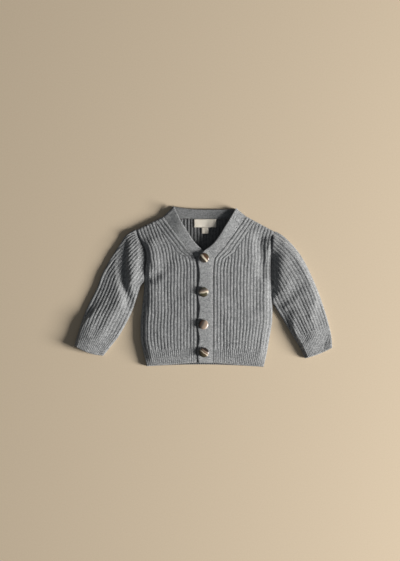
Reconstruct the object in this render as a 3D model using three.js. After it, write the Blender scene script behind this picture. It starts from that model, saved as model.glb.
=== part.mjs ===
// Ribbed baby cardigan with four buttons, laid flat on its back with its sleeves spread.
// Millimetres. +X is to the right of someone looking down at it, +Y runs toward the neck and
// +Z is up from the surface that it lies on. Left and right in the names are the wearer's,
// so the wearer's left is at +X.
import * as THREE from 'three';
import { mergeVertices } from 'three/addons/utils/BufferGeometryUtils.js';

// Knitting
const STITCH = 1.98; // width of one stitch
const WIDE_RIB = [0, 1, 1]; // one low purl stitch, then two raised knit stitches
const FINE_RIB = [0, 1]; // the hem and cuffs change to one low and one raised stitch
const WALL = 2.8; // cloth in the groove between two ribs
const RIB_HEIGHT = 1.2; // a raised rib above its groove
const PRESSED_WALL = 1.4; // cloth at the bottom of a deep fold
const SLOPE_RIBS = 3; // ribs that keep along the band, with the others running into them

// How the layers lie
const GAP = 0.3; // between two pieces
const NECK_CLEARANCE = 0.9; // between the back and the curved edge of its neck band
const SEAM_HEIGHT = 4.4; // middle of the fold at the side and shoulder seams
const UNDER_WALL = 3.6; // the lower layer of a sleeve
const EDGE = 0.45; // the cloth at a seam that is rolled under
const REST = SEAM_HEIGHT + GAP / 2; // lower face of what lies on the back
const BODY_ROLL = 6.5; // how far from a seam the fronts and back begin to round over
const SLEEVE_ROLL = 8;
const BODY_FULLNESS = 2.3; // air under the middle of a front
const SLEEVE_FULLNESS = 2.9;
const FULLNESS_REACH = 22; // distance from an edge at which the cloth is at its fullest
const NECK_LIFT_REACH = 40; // the fronts stand up toward the neck within this distance of it

// Bands, buttons and labels
const BAND_THICKNESS = 3;
const BAND_ROLL = 4; // how far from the shoulder fold the bands begin to round over
const BAND_EDGE = 1.5; // how far the band's edges round down
const BAND_ROUNDING = 2.4; // over this width
const LAP_FROM = 5; // past the edge of the band below, the lapped band comes down
const LAP_TO = 8; // from this distance to this one
const SCALLOP = 1.8; // the band's free edge swells beside each button by this much each way
const SCALLOP_REACH = 30; // and draws in most at this distance from a button
const BUTTON_DIAMETER = 17.6;
const BUTTON_THICKNESS = 4.6;
const BUTTON_RIM = 2.1; // height of the widest place, with the dome above it
const LABEL = { width: 40, height: 15, thickness: 1, centreX: 3.2, topY: 120.6 };
const SIZE_TAB = { width: 12, height: 11, thickness: 1, centreX: 3.2 };

// Sections across each front, from the hem up to the shoulder. Side is the end at the side seam,
// then the armhole. Seam is where the band is sewn on, edge is the band's free edge, roll is how
// far the side end is rolled down into its seam, and lift is how far the free edge stands up.
const LEFT_FRONT = [
  { sideX: 108.5, sideY: -145.8, seamX: 17.8, seamY: -138.2, edgeX: -9, edgeY: -138, roll: 1, lift: 0 },
  { sideX: 112.5, sideY: -130, seamX: 17.8, seamY: -126, edgeX: -9, edgeY: -126, roll: 1, lift: 0 },
  { sideX: 115.8, sideY: -114, seamX: 17.8, seamY: -113, edgeX: -9, edgeY: -113, roll: 1, lift: 0 },
  { sideX: 119, sideY: -95, seamX: 17.8, seamY: -95, edgeX: -9, edgeY: -95, roll: 1, lift: 0 },
  { sideX: 122, sideY: -78, seamX: 17.8, seamY: -78, edgeX: -9, edgeY: -78, roll: 1, lift: 0 },
  { sideX: 124.4, sideY: -60, seamX: 17.8, seamY: -60, edgeX: -9, edgeY: -60, roll: 1, lift: 0 },
  { sideX: 124.6, sideY: -43, seamX: 17.8, seamY: -43, edgeX: -9, edgeY: -43, roll: 1, lift: 0 },
  { sideX: 123.6, sideY: -27, seamX: 17.8, seamY: -27, edgeX: -9, edgeY: -27, roll: 1, lift: 0 },
  { sideX: 122.3, sideY: 0, seamX: 17.8, seamY: 0, edgeX: -9, edgeY: 0, roll: 1, lift: 0 },
  { sideX: 121.6, sideY: 27, seamX: 17.8, seamY: 25, edgeX: -9, edgeY: 25, roll: 1, lift: 0 },
  { sideX: 122, sideY: 50, seamX: 20, seamY: 47, edgeX: -8.5, edgeY: 51, roll: 0.95, lift: 0 },
  { sideX: 122.2, sideY: 68, seamX: 37, seamY: 69, edgeX: 20, edgeY: 79, roll: 0.7, lift: 3.5 },
  { sideX: 124.2, sideY: 84, seamX: 57, seamY: 96, edgeX: 40, edgeY: 109, roll: 0.5, lift: 6 },
  { sideX: 127.8, sideY: 98, seamX: 77.4, seamY: 125.3, edgeX: 58.9, edgeY: 140.4, roll: 0.5, lift: 0 },
];
const RIGHT_FRONT = [
  { sideX: -102, sideY: -144.5, seamX: -12, seamY: -137.8, edgeX: 10, edgeY: -137.6, roll: 1, lift: 0 },
  { sideX: -105.5, sideY: -130, seamX: -12, seamY: -126, edgeX: 10, edgeY: -126, roll: 1, lift: 0 },
  { sideX: -109.5, sideY: -114, seamX: -12, seamY: -113, edgeX: 10, edgeY: -113, roll: 1, lift: 0 },
  { sideX: -113, sideY: -92, seamX: -12, seamY: -92, edgeX: 10, edgeY: -92, roll: 1, lift: 0 },
  { sideX: -113, sideY: -70, seamX: -12, seamY: -70, edgeX: 10, edgeY: -70, roll: 1, lift: 0 },
  { sideX: -111, sideY: -45, seamX: -12, seamY: -45, edgeX: 10, edgeY: -45, roll: 1, lift: 0 },
  { sideX: -108, sideY: -20, seamX: -12, seamY: -20, edgeX: 10, edgeY: -20, roll: 1, lift: 0 },
  { sideX: -105.8, sideY: 10, seamX: -12, seamY: 10, edgeX: 10, edgeY: 10, roll: 1, lift: 0 },
  { sideX: -104.6, sideY: 32, seamX: -12, seamY: 31, edgeX: 10, edgeY: 34, roll: 1, lift: 0 },
  { sideX: -102.8, sideY: 51, seamX: -14.8, seamY: 51.3, edgeX: 3.6, edgeY: 57.6, roll: 1, lift: 0 },
  { sideX: -105.5, sideY: 66.6, seamX: -30.4, seamY: 69.5, edgeX: -15.5, edgeY: 78.5, roll: 0.9, lift: 2.5 },
  { sideX: -113, sideY: 81, seamX: -48, seamY: 92.5, edgeX: -31.5, edgeY: 103, roll: 0.8, lift: 4 },
  { sideX: -117.5, sideY: 91.5, seamX: -60, seamY: 108.5, edgeX: -42.5, edgeY: 121.5, roll: 0.6, lift: 2.5 },
  { sideX: -120.5, sideY: 101.5, seamX: -72.2, seamY: 125.3, edgeX: -53.5, edgeY: 144.4, roll: 0.5, lift: 0 },
];
const HEM_ROW = 2; // the fine rib of the hem and cuffs ends at this row
const WIDEST_ROW = 5; // the ribs spread evenly up to here and keep their spacing above
const ARMPIT_ROW = 7; // the armhole begins here
const LEFT_NECK_ROW = 10; // the neck slope begins here
const RIGHT_NECK_ROW = 9;
const LEFT_FRONT_RIBS = 15;
const RIGHT_FRONT_RIBS = 14;

// Sections across each sleeve, from the cuff up to the shoulder. Above the armpit the inner end
// lies on the armhole of the front beside it, so only the outer end is given there. Bow is how
// far the middle of a section swells toward the cuff, and slip is how far the ribs lie past the
// outer fold, which they run round.
const LEFT_SLEEVE = [
  { innerX: 183, innerY: -130.5, outerX: 232.5, outerY: -111, bow: 2, slip: 0 },
  { innerX: 173.5, innerY: -110, outerX: 230.8, outerY: -91, bow: 2, slip: 0 },
  { innerX: 163, innerY: -93, outerX: 226.5, outerY: -71, bow: 1, slip: 0 },
  { innerX: 152, innerY: -75.4, outerX: 221, outerY: -51, bow: 0, slip: 0 },
  { innerX: 143, innerY: -60, outerX: 214.5, outerY: -31, bow: 0, slip: 0 },
  { innerX: 135, innerY: -47.5, outerX: 209, outerY: -15, bow: 0, slip: 0 },
  { innerX: 128.5, innerY: -36.5, outerX: 203, outerY: 0, bow: 0, slip: 0 },
  { outerX: 195.5, outerY: 17, bow: 0, slip: 0 },
  { outerX: 187, outerY: 35, bow: 0, slip: 1 },
  { outerX: 177, outerY: 53, bow: 0, slip: 2 },
  { outerX: 164, outerY: 70.5, bow: 0, slip: 3.5 },
  { outerX: 153, outerY: 82, bow: 0, slip: 5 },
  { outerX: 143, outerY: 91, bow: 0, slip: 6 },
  { outerX: 131, outerY: 98, bow: 0, slip: 7 },
];
const RIGHT_SLEEVE = [
  { innerX: -180, innerY: -125.5, outerX: -232.5, outerY: -107.5, bow: 4, slip: 0 },
  { innerX: -165, innerY: -107, outerX: -226.5, outerY: -87, bow: 2, slip: 0 },
  { innerX: -152, innerY: -90, outerX: -220, outerY: -67, bow: 1, slip: 0 },
  { innerX: -140, innerY: -69.5, outerX: -212, outerY: -45, bow: 0, slip: 0 },
  { innerX: -128.5, innerY: -46, outerX: -201.5, outerY: -23, bow: 0, slip: 0 },
  { innerX: -119.5, innerY: -20, outerX: -191, outerY: -2, bow: 0, slip: 0 },
  { innerX: -113, innerY: -1, outerX: -182.5, outerY: 21, bow: 0, slip: 0 },
  { outerX: -173, outerY: 39, bow: 0, slip: 1.5 },
  { outerX: -163.5, outerY: 55, bow: 0, slip: 4 },
  { outerX: -155.5, outerY: 67.5, bow: 0, slip: 7.5 },
  { outerX: -149, outerY: 77, bow: 0, slip: 11 },
  { outerX: -142.5, outerY: 88, bow: 0, slip: 14 },
  { outerX: -133, outerY: 96.4, bow: 0, slip: 17 },
  { outerX: -123, outerY: 101.6, bow: 0, slip: 19 },
];
const LEFT_SLEEVE_RIBS = 14;
const RIGHT_SLEEVE_RIBS = 13;

// Columns between the edges of faces that carry no ribs, and extra places near an edge
const FRONT_PLAIN_COLUMNS = 7;
const BACK_PLAIN_COLUMNS = 6;
const SLEEVE_PLAIN_COLUMNS = 6;
const BAND_TOP_COLUMNS = 3;
const BAND_LOWER_COLUMNS = 8;
const BACK_EDGE_PLACES = [0, 1.5, BODY_ROLL];
const SLEEVE_EDGE_PLACES = [0, 2, SLEEVE_ROLL];
const TOWARD_FOLD = [0.5, 0.8, 0.93, 1]; // sections come closer together toward a shoulder fold
const FROM_FOLD = [0.07, 0.2, 0.5, 1];

// The largest folds of the cloth, along straight lines. A fold with a depth below 0 is a ridge.
const LEFT_SLEEVE_FOLDS = [
  { fromX: 127, fromY: 46, toX: 129, toY: -14, width: 8, depth: 4.4 },
  { fromX: 126, fromY: -20, toX: 156, toY: 38, width: 8, depth: -1 },
  { fromX: 142, fromY: -24, toX: 174, toY: 10, width: 9, depth: 1.8 },
  { fromX: 138, fromY: -38, toX: 168, toY: -92, width: 10, depth: 1.8 },
  { fromX: 172, fromY: -24, toX: 192, toY: -76, width: 8, depth: 1.2 },
];
const RIGHT_SLEEVE_FOLDS = [
  { fromX: -146, fromY: 76, toX: -145, toY: 38, width: 8, depth: 3 },
  { fromX: -145, fromY: 38, toX: -141, toY: 4, width: 8, depth: 4.2 },
  { fromX: -141, fromY: 4, toX: -135, toY: -30, width: 8, depth: 4.4 },
  { fromX: -205, fromY: -62, toX: -176, toY: -40, width: 9, depth: 1.4 },
];
const LEFT_FRONT_FOLDS = [
  { fromX: 106, fromY: 80, toX: 102, toY: 18, width: 7, depth: 1.8 },
];
const RIGHT_FRONT_FOLDS = [
  { fromX: -80, fromY: 20, toX: -110, toY: 8, width: 8, depth: 3 },
  { fromX: -50, fromY: 54, toX: -80, toY: 20, width: 8, depth: 1.4 },
  { fromX: -97, fromY: 76, toX: -88, toY: 34, width: 9, depth: -1 },
];

// Sections of the back neck band from the right shoulder to the left one.
const NECK_BAND = [
  { lowerX: -70.8, lowerY: 125.2, upperX: -53.6, upperY: 142.8 },
  { lowerX: -57, lowerY: 122.6, upperX: -46, upperY: 142 },
  { lowerX: -32, lowerY: 121.6, upperX: -27, upperY: 139.4 },
  { lowerX: 1, lowerY: 121.2, upperX: 1, upperY: 138 },
  { lowerX: 34, lowerY: 121.2, upperX: 30, upperY: 138 },
  { lowerX: 61, lowerY: 122.2, upperX: 51, upperY: 139 },
  { lowerX: 76, lowerY: 125, upperX: 58.9, upperY: 139.2 },
];

// The back. Its last rows rise by these shares of the shape of the neck edge.
const BACK_ROWS_RISE = [0, 0, 0, 0, 0, 0, 0, 0, 0, 0, 0.15, 0.35, 0.65, 1];
const BACK_HEM_ARCH = 3.6; // less than the fronts' hems, so the back's hem shows below them
const BACK_RIB_PITCH = WIDE_RIB.length * STITCH;
const BACK_COLUMNS_BESIDE = 5; // plain columns each side of the stretch that shows in the neck
const BACK_SHOWN = { fromX: -53, toX: 59, fromY: 52, fullFromY: 62 };

// Buttons, and their section from the middle of the underside out to the widest place
const BUTTON_SIDES = 24;
const BUTTON_DOME_STEPS = 4;
const BUTTON_UNDERSIDE = [
  { radiusShare: 0, rimShare: 0 },
  { radiusShare: 0.72, rimShare: 0 },
  { radiusShare: 0.96, rimShare: 0.3 },
  { radiusShare: 1, rimShare: 1 },
];
const BUTTONS = [
  { name: 'button_1', x: 1.6, y: 50.4, turn: -35 },
  { name: 'button_2', x: 0.4, y: -10.8, turn: 60 },
  { name: 'button_3', x: 0, y: -68.6, turn: 15 },
  { name: 'button_4', x: 1.1, y: -118.8, turn: 110 },
];

const WOOL = new THREE.Color(0.42, 0.43, 0.43);
const WOOL_ROUGHNESS = 0.95;
const HORN = new THREE.Color(0.16, 0.1, 0.06);
const HORN_ROUGHNESS = 0.25;
const LABEL_CREAM = new THREE.Color(0.78, 0.72, 0.62);
const LABEL_ROUGHNESS = 0.8;

const { lerp, clamp, smoothstep, degToRad, euclideanModulo } = THREE.MathUtils;

// Points and lines in plan

function pointBetween(a, b, share) {
  return new THREE.Vector2(lerp(a.x, b.x, share), lerp(a.y, b.y, share));
}

// A table row part of the way between two others.
function rowBetween(a, b, share) {
  const row = {};
  for (const name of Object.keys(a)) {
    row[name] = lerp(a[name], b[name], share);
  }
  return row;
}

// A table with rows added between its own, at the given shares of each stretch.
function refine(table, sharesAfter) {
  const rows = [{ ...table[0], place: 0 }];
  for (let i = 1; i < table.length; i++) {
    for (const share of sharesAfter(i - 1)) {
      rows.push({ ...rowBetween(table[i - 1], table[i], share), place: i - 1 + share });
    }
  }
  return rows;
}

// The distance from a point to a line, and how far the cloth is rolled down at the nearest place.
function nearestOn(line, point) {
  let nearest = { distance: Infinity, roll: 0 };
  for (let i = 1; i < line.length; i++) {
    const a = line[i - 1];
    const b = line[i];
    const along = new THREE.Vector2(b.x - a.x, b.y - a.y);
    const offset = new THREE.Vector2(point.x - a.x, point.y - a.y);
    const share = clamp(offset.dot(along) / along.lengthSq(), 0, 1);
    const distance = offset.addScaledVector(along, -share).length();
    if (distance < nearest.distance) {
      nearest = { distance, roll: lerp(a.roll, b.roll, share) };
    }
  }
  return nearest;
}

// A height that rounds over from full to low toward each line that is rolled down.
function rolledHeight(full, low, point, lines, width) {
  let drop = 0;
  for (const line of lines) {
    const { distance, roll } = nearestOn(line, point);
    const nearness = Math.max(0, 1 - distance / width);
    drop = Math.max(drop, roll * (1 - Math.sqrt(1 - nearness * nearness)));
  }
  return lerp(full, low, drop);
}

// How full the cloth lies, from 0 at the lines to 1 well inside them.
function fullnessAt(point, lines) {
  const distances = lines.map((line) => nearestOn(line, point).distance);
  return smoothstep(Math.min(...distances), 0, FULLNESS_REACH);
}

// The depth of the deepest trough at a point, less the height of the highest ridge there.
function foldDepth(point, folds) {
  let trough = 0;
  let ridge = 0;
  for (const fold of folds) {
    const line = [
      { x: fold.fromX, y: fold.fromY, roll: 0 },
      { x: fold.toX, y: fold.toY, roll: 0 },
    ];
    const across = nearestOn(line, point).distance / fold.width;
    const depth = fold.depth * Math.exp(-across * across);
    trough = Math.max(trough, depth);
    ridge = Math.min(ridge, depth);
  }
  return trough + ridge;
}

// How far the neck edge of a front and its band stand up at a point.
function neckLift(table, point) {
  const line = table.map((row) => ({ x: row.edgeX, y: row.edgeY, roll: row.lift }));
  const { distance, roll } = nearestOn(line, point);
  return roll * (1 - smoothstep(distance, 0, NECK_LIFT_REACH));
}

// Closed solids out of grids of points

function addTriangle(soup, a, b, c) {
  const tiny = 1e-3;
  if (a.distanceTo(b) > tiny && b.distanceTo(c) > tiny && c.distanceTo(a) > tiny) {
    soup.push(a, b, c);
  }
}

// A grid of points seen from its outer side with its rows going up and its columns to the right.
function addSurface(soup, grid, facesDown = false) {
  for (let r = 1; r < grid.length; r++) {
    for (let c = 1; c < grid[r].length; c++) {
      const corners = [grid[r - 1][c - 1], grid[r - 1][c], grid[r][c], grid[r][c - 1]];
      if (facesDown) {
        corners.reverse();
      }
      addTriangle(soup, corners[0], corners[1], corners[2]);
      addTriangle(soup, corners[0], corners[2], corners[3]);
    }
  }
}

// The share of its length at which each point of a line comes.
function lengthShares(line) {
  const shares = [0];
  for (let i = 1; i < line.length; i++) {
    shares.push(shares[i - 1] + line[i].distanceTo(line[i - 1]));
  }
  const length = shares[shares.length - 1];
  return shares.map((share) => share / length);
}

// The rim between an upper and a lower line, which may have different numbers of points.
function addRim(soup, upper, lower) {
  const upperShares = lengthShares(upper);
  const lowerShares = lengthShares(lower);
  let u = 0;
  let l = 0;
  while (u < upper.length - 1 || l < lower.length - 1) {
    const upperNext = u < upper.length - 1 ? upperShares[u + 1] : Infinity;
    const lowerNext = l < lower.length - 1 ? lowerShares[l + 1] : Infinity;
    if (upperNext <= lowerNext) {
      addTriangle(soup, upper[u + 1], upper[u], lower[l]);
      u += 1;
    } else {
      addTriangle(soup, upper[u], lower[l], lower[l + 1]);
      l += 1;
    }
  }
}

function column(grid, index, fromRow = 0) {
  return grid.slice(fromRow).map((row) => row.at(index));
}

function signedVolume(soup) {
  let volume = 0;
  for (let i = 0; i < soup.length; i += 3) {
    volume += soup[i].dot(soup[i + 1].clone().cross(soup[i + 2])) / 6;
  }
  return volume;
}

function geometryOf(soup) {
  if (signedVolume(soup) < 0) {
    soup.reverse();
  }
  const points = new THREE.BufferGeometry().setFromPoints(soup);
  const geometry = mergeVertices(points, 1e-3);
  geometry.computeVertexNormals();
  return geometry;
}

// A sheet of cloth between an upper and a lower grid with the same rows.
function sheetGeometry(upper, lower) {
  const soup = [];
  addSurface(soup, upper);
  addSurface(soup, lower, true);
  addRim(soup, upper[0], lower[0]);
  addRim(soup, column(upper, -1), column(lower, -1));
  addRim(soup, upper.at(-1).toReversed(), lower.at(-1).toReversed());
  addRim(soup, column(upper, 0).reverse(), column(lower, 0).reverse());
  return geometryOf(soup);
}

function meshOf(name, geometry, color, roughness) {
  const material = new THREE.MeshStandardMaterial({ color, roughness, metalness: 0 });
  const mesh = new THREE.Mesh(geometry, material);
  mesh.name = name;
  return mesh;
}

function woolMesh(name, geometry) {
  return meshOf(name, geometry, WOOL, WOOL_ROUGHNESS);
}

// The wall of the cloth, which a fold that is deeper than the air below presses thinner.
function wallAt(airUnder) {
  return Math.max(PRESSED_WALL, WALL + Math.min(0, airUnder));
}

// Ribs across a section

// How high the stitch in a column stands, in the hem or cuff and above it.
function stitchHeight(stitch, place) {
  const fine = FINE_RIB[euclideanModulo(stitch, FINE_RIB.length)];
  const wide = WIDE_RIB[euclideanModulo(stitch, WIDE_RIB.length)];
  return place <= HEM_ROW ? fine : wide;
}

// Places along a section, from its start, at plain distances with close ones near both ends.
function plainPlaces(length, columns, nearEnds) {
  const places = [...nearEnds];
  const reach = nearEnds.at(-1);
  for (let i = 1; i < columns; i++) {
    places.push(lerp(reach, length - reach, i / columns));
  }
  for (const distance of nearEnds.toReversed()) {
    places.push(length - distance);
  }
  return places;
}

// Both ends of each section of a front, with a seam's gap taken off.
function frontSections(table, neckRow) {
  const lastStretch = table.length - 2;
  const rows = refine(table, (i) => {
    if (i === lastStretch) {
      return TOWARD_FOLD;
    }
    return i >= Math.min(ARMPIT_ROW, neckRow - 1) ? [0.5, 1] : [1];
  });
  const inward = Math.sign(table[0].seamX - table[0].sideX);
  return rows.map((row, i) => {
    const side = new THREE.Vector2(row.sideX + inward * GAP / 2, row.sideY);
    const seam = new THREE.Vector2(row.seamX - inward * GAP / 2, row.seamY);
    const before = rows[Math.max(0, i - 1)];
    const after = rows[Math.min(rows.length - 1, i + 1)];
    const slope = new THREE.Vector2(after.seamX - before.seamX, after.seamY - before.seamY).normalize();
    const across = seam.clone().sub(side).normalize();
    const slant = Math.abs(across.cross(slope));
    return { side, seam, slant, place: row.place };
  });
}

// The stitches of a front along one section. The ribs spread evenly up to the widest row. Above
// it they keep their spacing and end at the side, then at the ribs that follow the neck slope.
function frontStitches(section, spacing, fieldStitches, neckShift) {
  const slopeStitches = SLOPE_RIBS * WIDE_RIB.length;
  const length = section.side.distanceTo(section.seam);
  const field = length - slopeStitches * STITCH;
  const fieldEnd = length - slopeStitches * STITCH / section.slant;
  const even = section.place <= WIDEST_ROW;
  const pitch = even ? field / fieldStitches : spacing;
  const shift = even ? 0 : Math.min(fieldStitches - field / pitch, neckShift);
  const stitches = [];
  for (let i = 0; i <= fieldStitches; i++) {
    const free = (i - shift) * pitch;
    const place = clamp(free, 0, fieldEnd);
    const fade = clamp(Math.min(place, fieldEnd - place) / pitch, 0, 1);
    stitches.push({ place, height: fade * stitchHeight(i, section.place) });
  }
  for (let i = 1; i <= slopeStitches; i++) {
    const place = lerp(fieldEnd, length, i / slopeStitches);
    stitches.push({ place, height: i < slopeStitches ? stitchHeight(i, section.place) : 0 });
  }
  return stitches;
}

function sideLine(table) {
  return table.map((row) => ({ x: row.sideX, y: row.sideY, roll: row.roll }));
}

function shoulderLine(table) {
  const { sideX, sideY, seamX, seamY } = table.at(-1);
  return [
    { x: sideX, y: sideY, roll: 1 },
    { x: seamX, y: seamY, roll: 1 },
  ];
}

function frontPanel(name, table, ribs, neckRow, folds) {
  const fieldStitches = ribs * WIDE_RIB.length;
  const slopeWidth = SLOPE_RIBS * WIDE_RIB.length * STITCH;
  const widest = table[WIDEST_ROW];
  const spacing = (Math.abs(widest.seamX - widest.sideX) - slopeWidth) / fieldStitches;
  const neck = table[neckRow];
  const neckShift = fieldStitches - (Math.abs(neck.seamX - neck.sideX) - slopeWidth) / spacing;
  const lines = [sideLine(table), shoulderLine(table)];
  const airUnder = (point) => BODY_FULLNESS * fullnessAt(point, lines) - foldDepth(point, folds);
  const lowerHeight = (point) => REST + Math.max(0, airUnder(point)) + neckLift(table, point);
  const upperHeight = (point, stitch) => {
    const ribbed = lowerHeight(point) + wallAt(airUnder(point)) + RIB_HEIGHT * stitch;
    return rolledHeight(ribbed, REST + EDGE, point, lines, BODY_ROLL);
  };
  const upper = [];
  const lower = [];
  for (const section of frontSections(table, neckRow)) {
    const { side, seam } = section;
    const length = side.distanceTo(seam);
    const at = (place) => pointBetween(side, seam, place / length);
    upper.push(frontStitches(section, spacing, fieldStitches, neckShift).map(({ place, height }) => {
      const point = at(place);
      return new THREE.Vector3(point.x, point.y, upperHeight(point, height));
    }));
    lower.push(plainPlaces(length, FRONT_PLAIN_COLUMNS, [0]).map((place) => {
      const point = at(place);
      return new THREE.Vector3(point.x, point.y, lowerHeight(point));
    }));
  }
  return woolMesh(name, sheetGeometry(upper, lower));
}

// The neck edge of the back, from shoulder to shoulder.
function backTopLine() {
  const left = LEFT_FRONT.at(-1);
  const right = RIGHT_FRONT.at(-1);
  return [
    { x: right.sideX, y: right.sideY },
    { x: right.seamX, y: right.seamY - NECK_CLEARANCE },
    ...NECK_BAND.slice(1, -1).map((row) => ({ x: row.lowerX, y: row.lowerY - NECK_CLEARANCE })),
    { x: left.seamX, y: left.seamY - NECK_CLEARANCE },
    { x: left.sideX, y: left.sideY },
  ];
}

function heightOn(line, x) {
  const i = clamp(line.findIndex((row) => row.x > x), 1, line.length - 1);
  return lerp(line[i - 1].y, line[i].y, (x - line[i - 1].x) / (line[i].x - line[i - 1].x));
}

// Rows of the back between its two side edges, each with a function from x to a point in plan.
function backRows() {
  const table = LEFT_FRONT.map((row, i) => ({
    leftX: row.sideX,
    leftY: row.sideY,
    rightX: RIGHT_FRONT[i].sideX,
    rightY: RIGHT_FRONT[i].sideY,
    rise: BACK_ROWS_RISE[i],
    arch: i === 0 ? BACK_HEM_ARCH : 0,
  }));
  const neckEdge = backTopLine();
  const straight = [neckEdge[0], neckEdge.at(-1)];
  return refine(table, (i) => (i === table.length - 2 ? TOWARD_FOLD : [1])).map((row) => {
    const at = (x) => {
      const share = clamp((x - row.rightX) / (row.leftX - row.rightX), 0, 1);
      const rise = row.rise * (heightOn(neckEdge, x) - heightOn(straight, x));
      const arch = row.arch * Math.sin(Math.PI * share);
      return new THREE.Vector2(x, lerp(row.rightY, row.leftY, share) + rise + arch);
    };
    return { from: row.rightX, to: row.leftX, at };
  });
}

// Places across the back, with one on the crest and one in the groove of each rib that shows.
// Every second one of those that show is a crest.
function backPlaces(from, to) {
  const beside = (start, end) => Array.from({ length: BACK_COLUMNS_BESIDE }, (_, i) => ({
    x: lerp(start, end, (i + 0.5) / BACK_COLUMNS_BESIDE),
    crest: false,
  }));
  const shown = [];
  for (let x = BACK_SHOWN.fromX; x <= BACK_SHOWN.toX; x += BACK_RIB_PITCH / 2) {
    shown.push({ x, crest: shown.length % 2 === 1 });
  }
  return [
    { x: from + GAP, crest: false },
    ...beside(from, BACK_SHOWN.fromX),
    ...shown,
    ...beside(BACK_SHOWN.toX, to),
    { x: to - GAP, crest: false },
  ];
}

// The back lies on the surface, plain below, with its inside ribs raised where the neck shows it.
function backPanel() {
  const sides = [LEFT_FRONT, RIGHT_FRONT].map((table) => (
    sideLine(table).map((row, i) => ({ ...row, roll: i <= ARMPIT_ROW ? 1 : 0 }))
  ));
  const lines = [...sides, shoulderLine(LEFT_FRONT), shoulderLine(RIGHT_FRONT)];
  const foldTop = SEAM_HEIGHT - GAP / 2;
  const crestTop = REST - GAP;
  const upper = [];
  const lower = [];
  for (const { from, to, at } of backRows()) {
    upper.push(backPlaces(from, to).map(({ x, crest }) => {
      const point = at(x);
      const seen = crest ? smoothstep(point.y, BACK_SHOWN.fromY, BACK_SHOWN.fullFromY) : 0;
      const groove = lerp(foldTop, WALL, fullnessAt(point, lines));
      return new THREE.Vector3(point.x, point.y, lerp(groove, crestTop, seen));
    }));
    const width = to - from - 2 * GAP;
    lower.push(plainPlaces(width, BACK_PLAIN_COLUMNS, BACK_EDGE_PLACES).map((place) => {
      const point = at(from + GAP + place);
      return new THREE.Vector3(point.x, point.y, rolledHeight(0, foldTop - EDGE, point, lines, BODY_ROLL));
    }));
  }
  return woolMesh('back_panel', sheetGeometry(upper, lower));
}

// Sections of a sleeve, each with a function from the distance past its outer end to a point.
function sleeveSections(table, frontTable) {
  const outward = Math.sign(table[0].outerX);
  const complete = table.map((row, i) => {
    if (i < ARMPIT_ROW) {
      return { ...row, roll: 1 };
    }
    const { sideX, sideY, roll } = frontTable[i];
    return { ...row, innerX: sideX + outward * GAP / 2, innerY: sideY, roll };
  });
  return refine(complete, () => [0.5, 1]).map((row) => {
    const outer = new THREE.Vector2(row.outerX, row.outerY);
    const inner = new THREE.Vector2(row.innerX, row.innerY);
    const length = outer.distanceTo(inner);
    const across = inner.clone().sub(outer).divideScalar(length);
    const towardCuff = new THREE.Vector2(-across.y, across.x).multiplyScalar(outward);
    const at = (place) => {
      const share = place / length;
      const swell = row.bow * 4 * share * (1 - share);
      return pointBetween(outer, inner, share).addScaledVector(towardCuff, swell);
    };
    const { roll, slip, place } = row;
    return { inner, outer, length, at, roll, slip, place, open: place > ARMPIT_ROW };
  });
}

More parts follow.
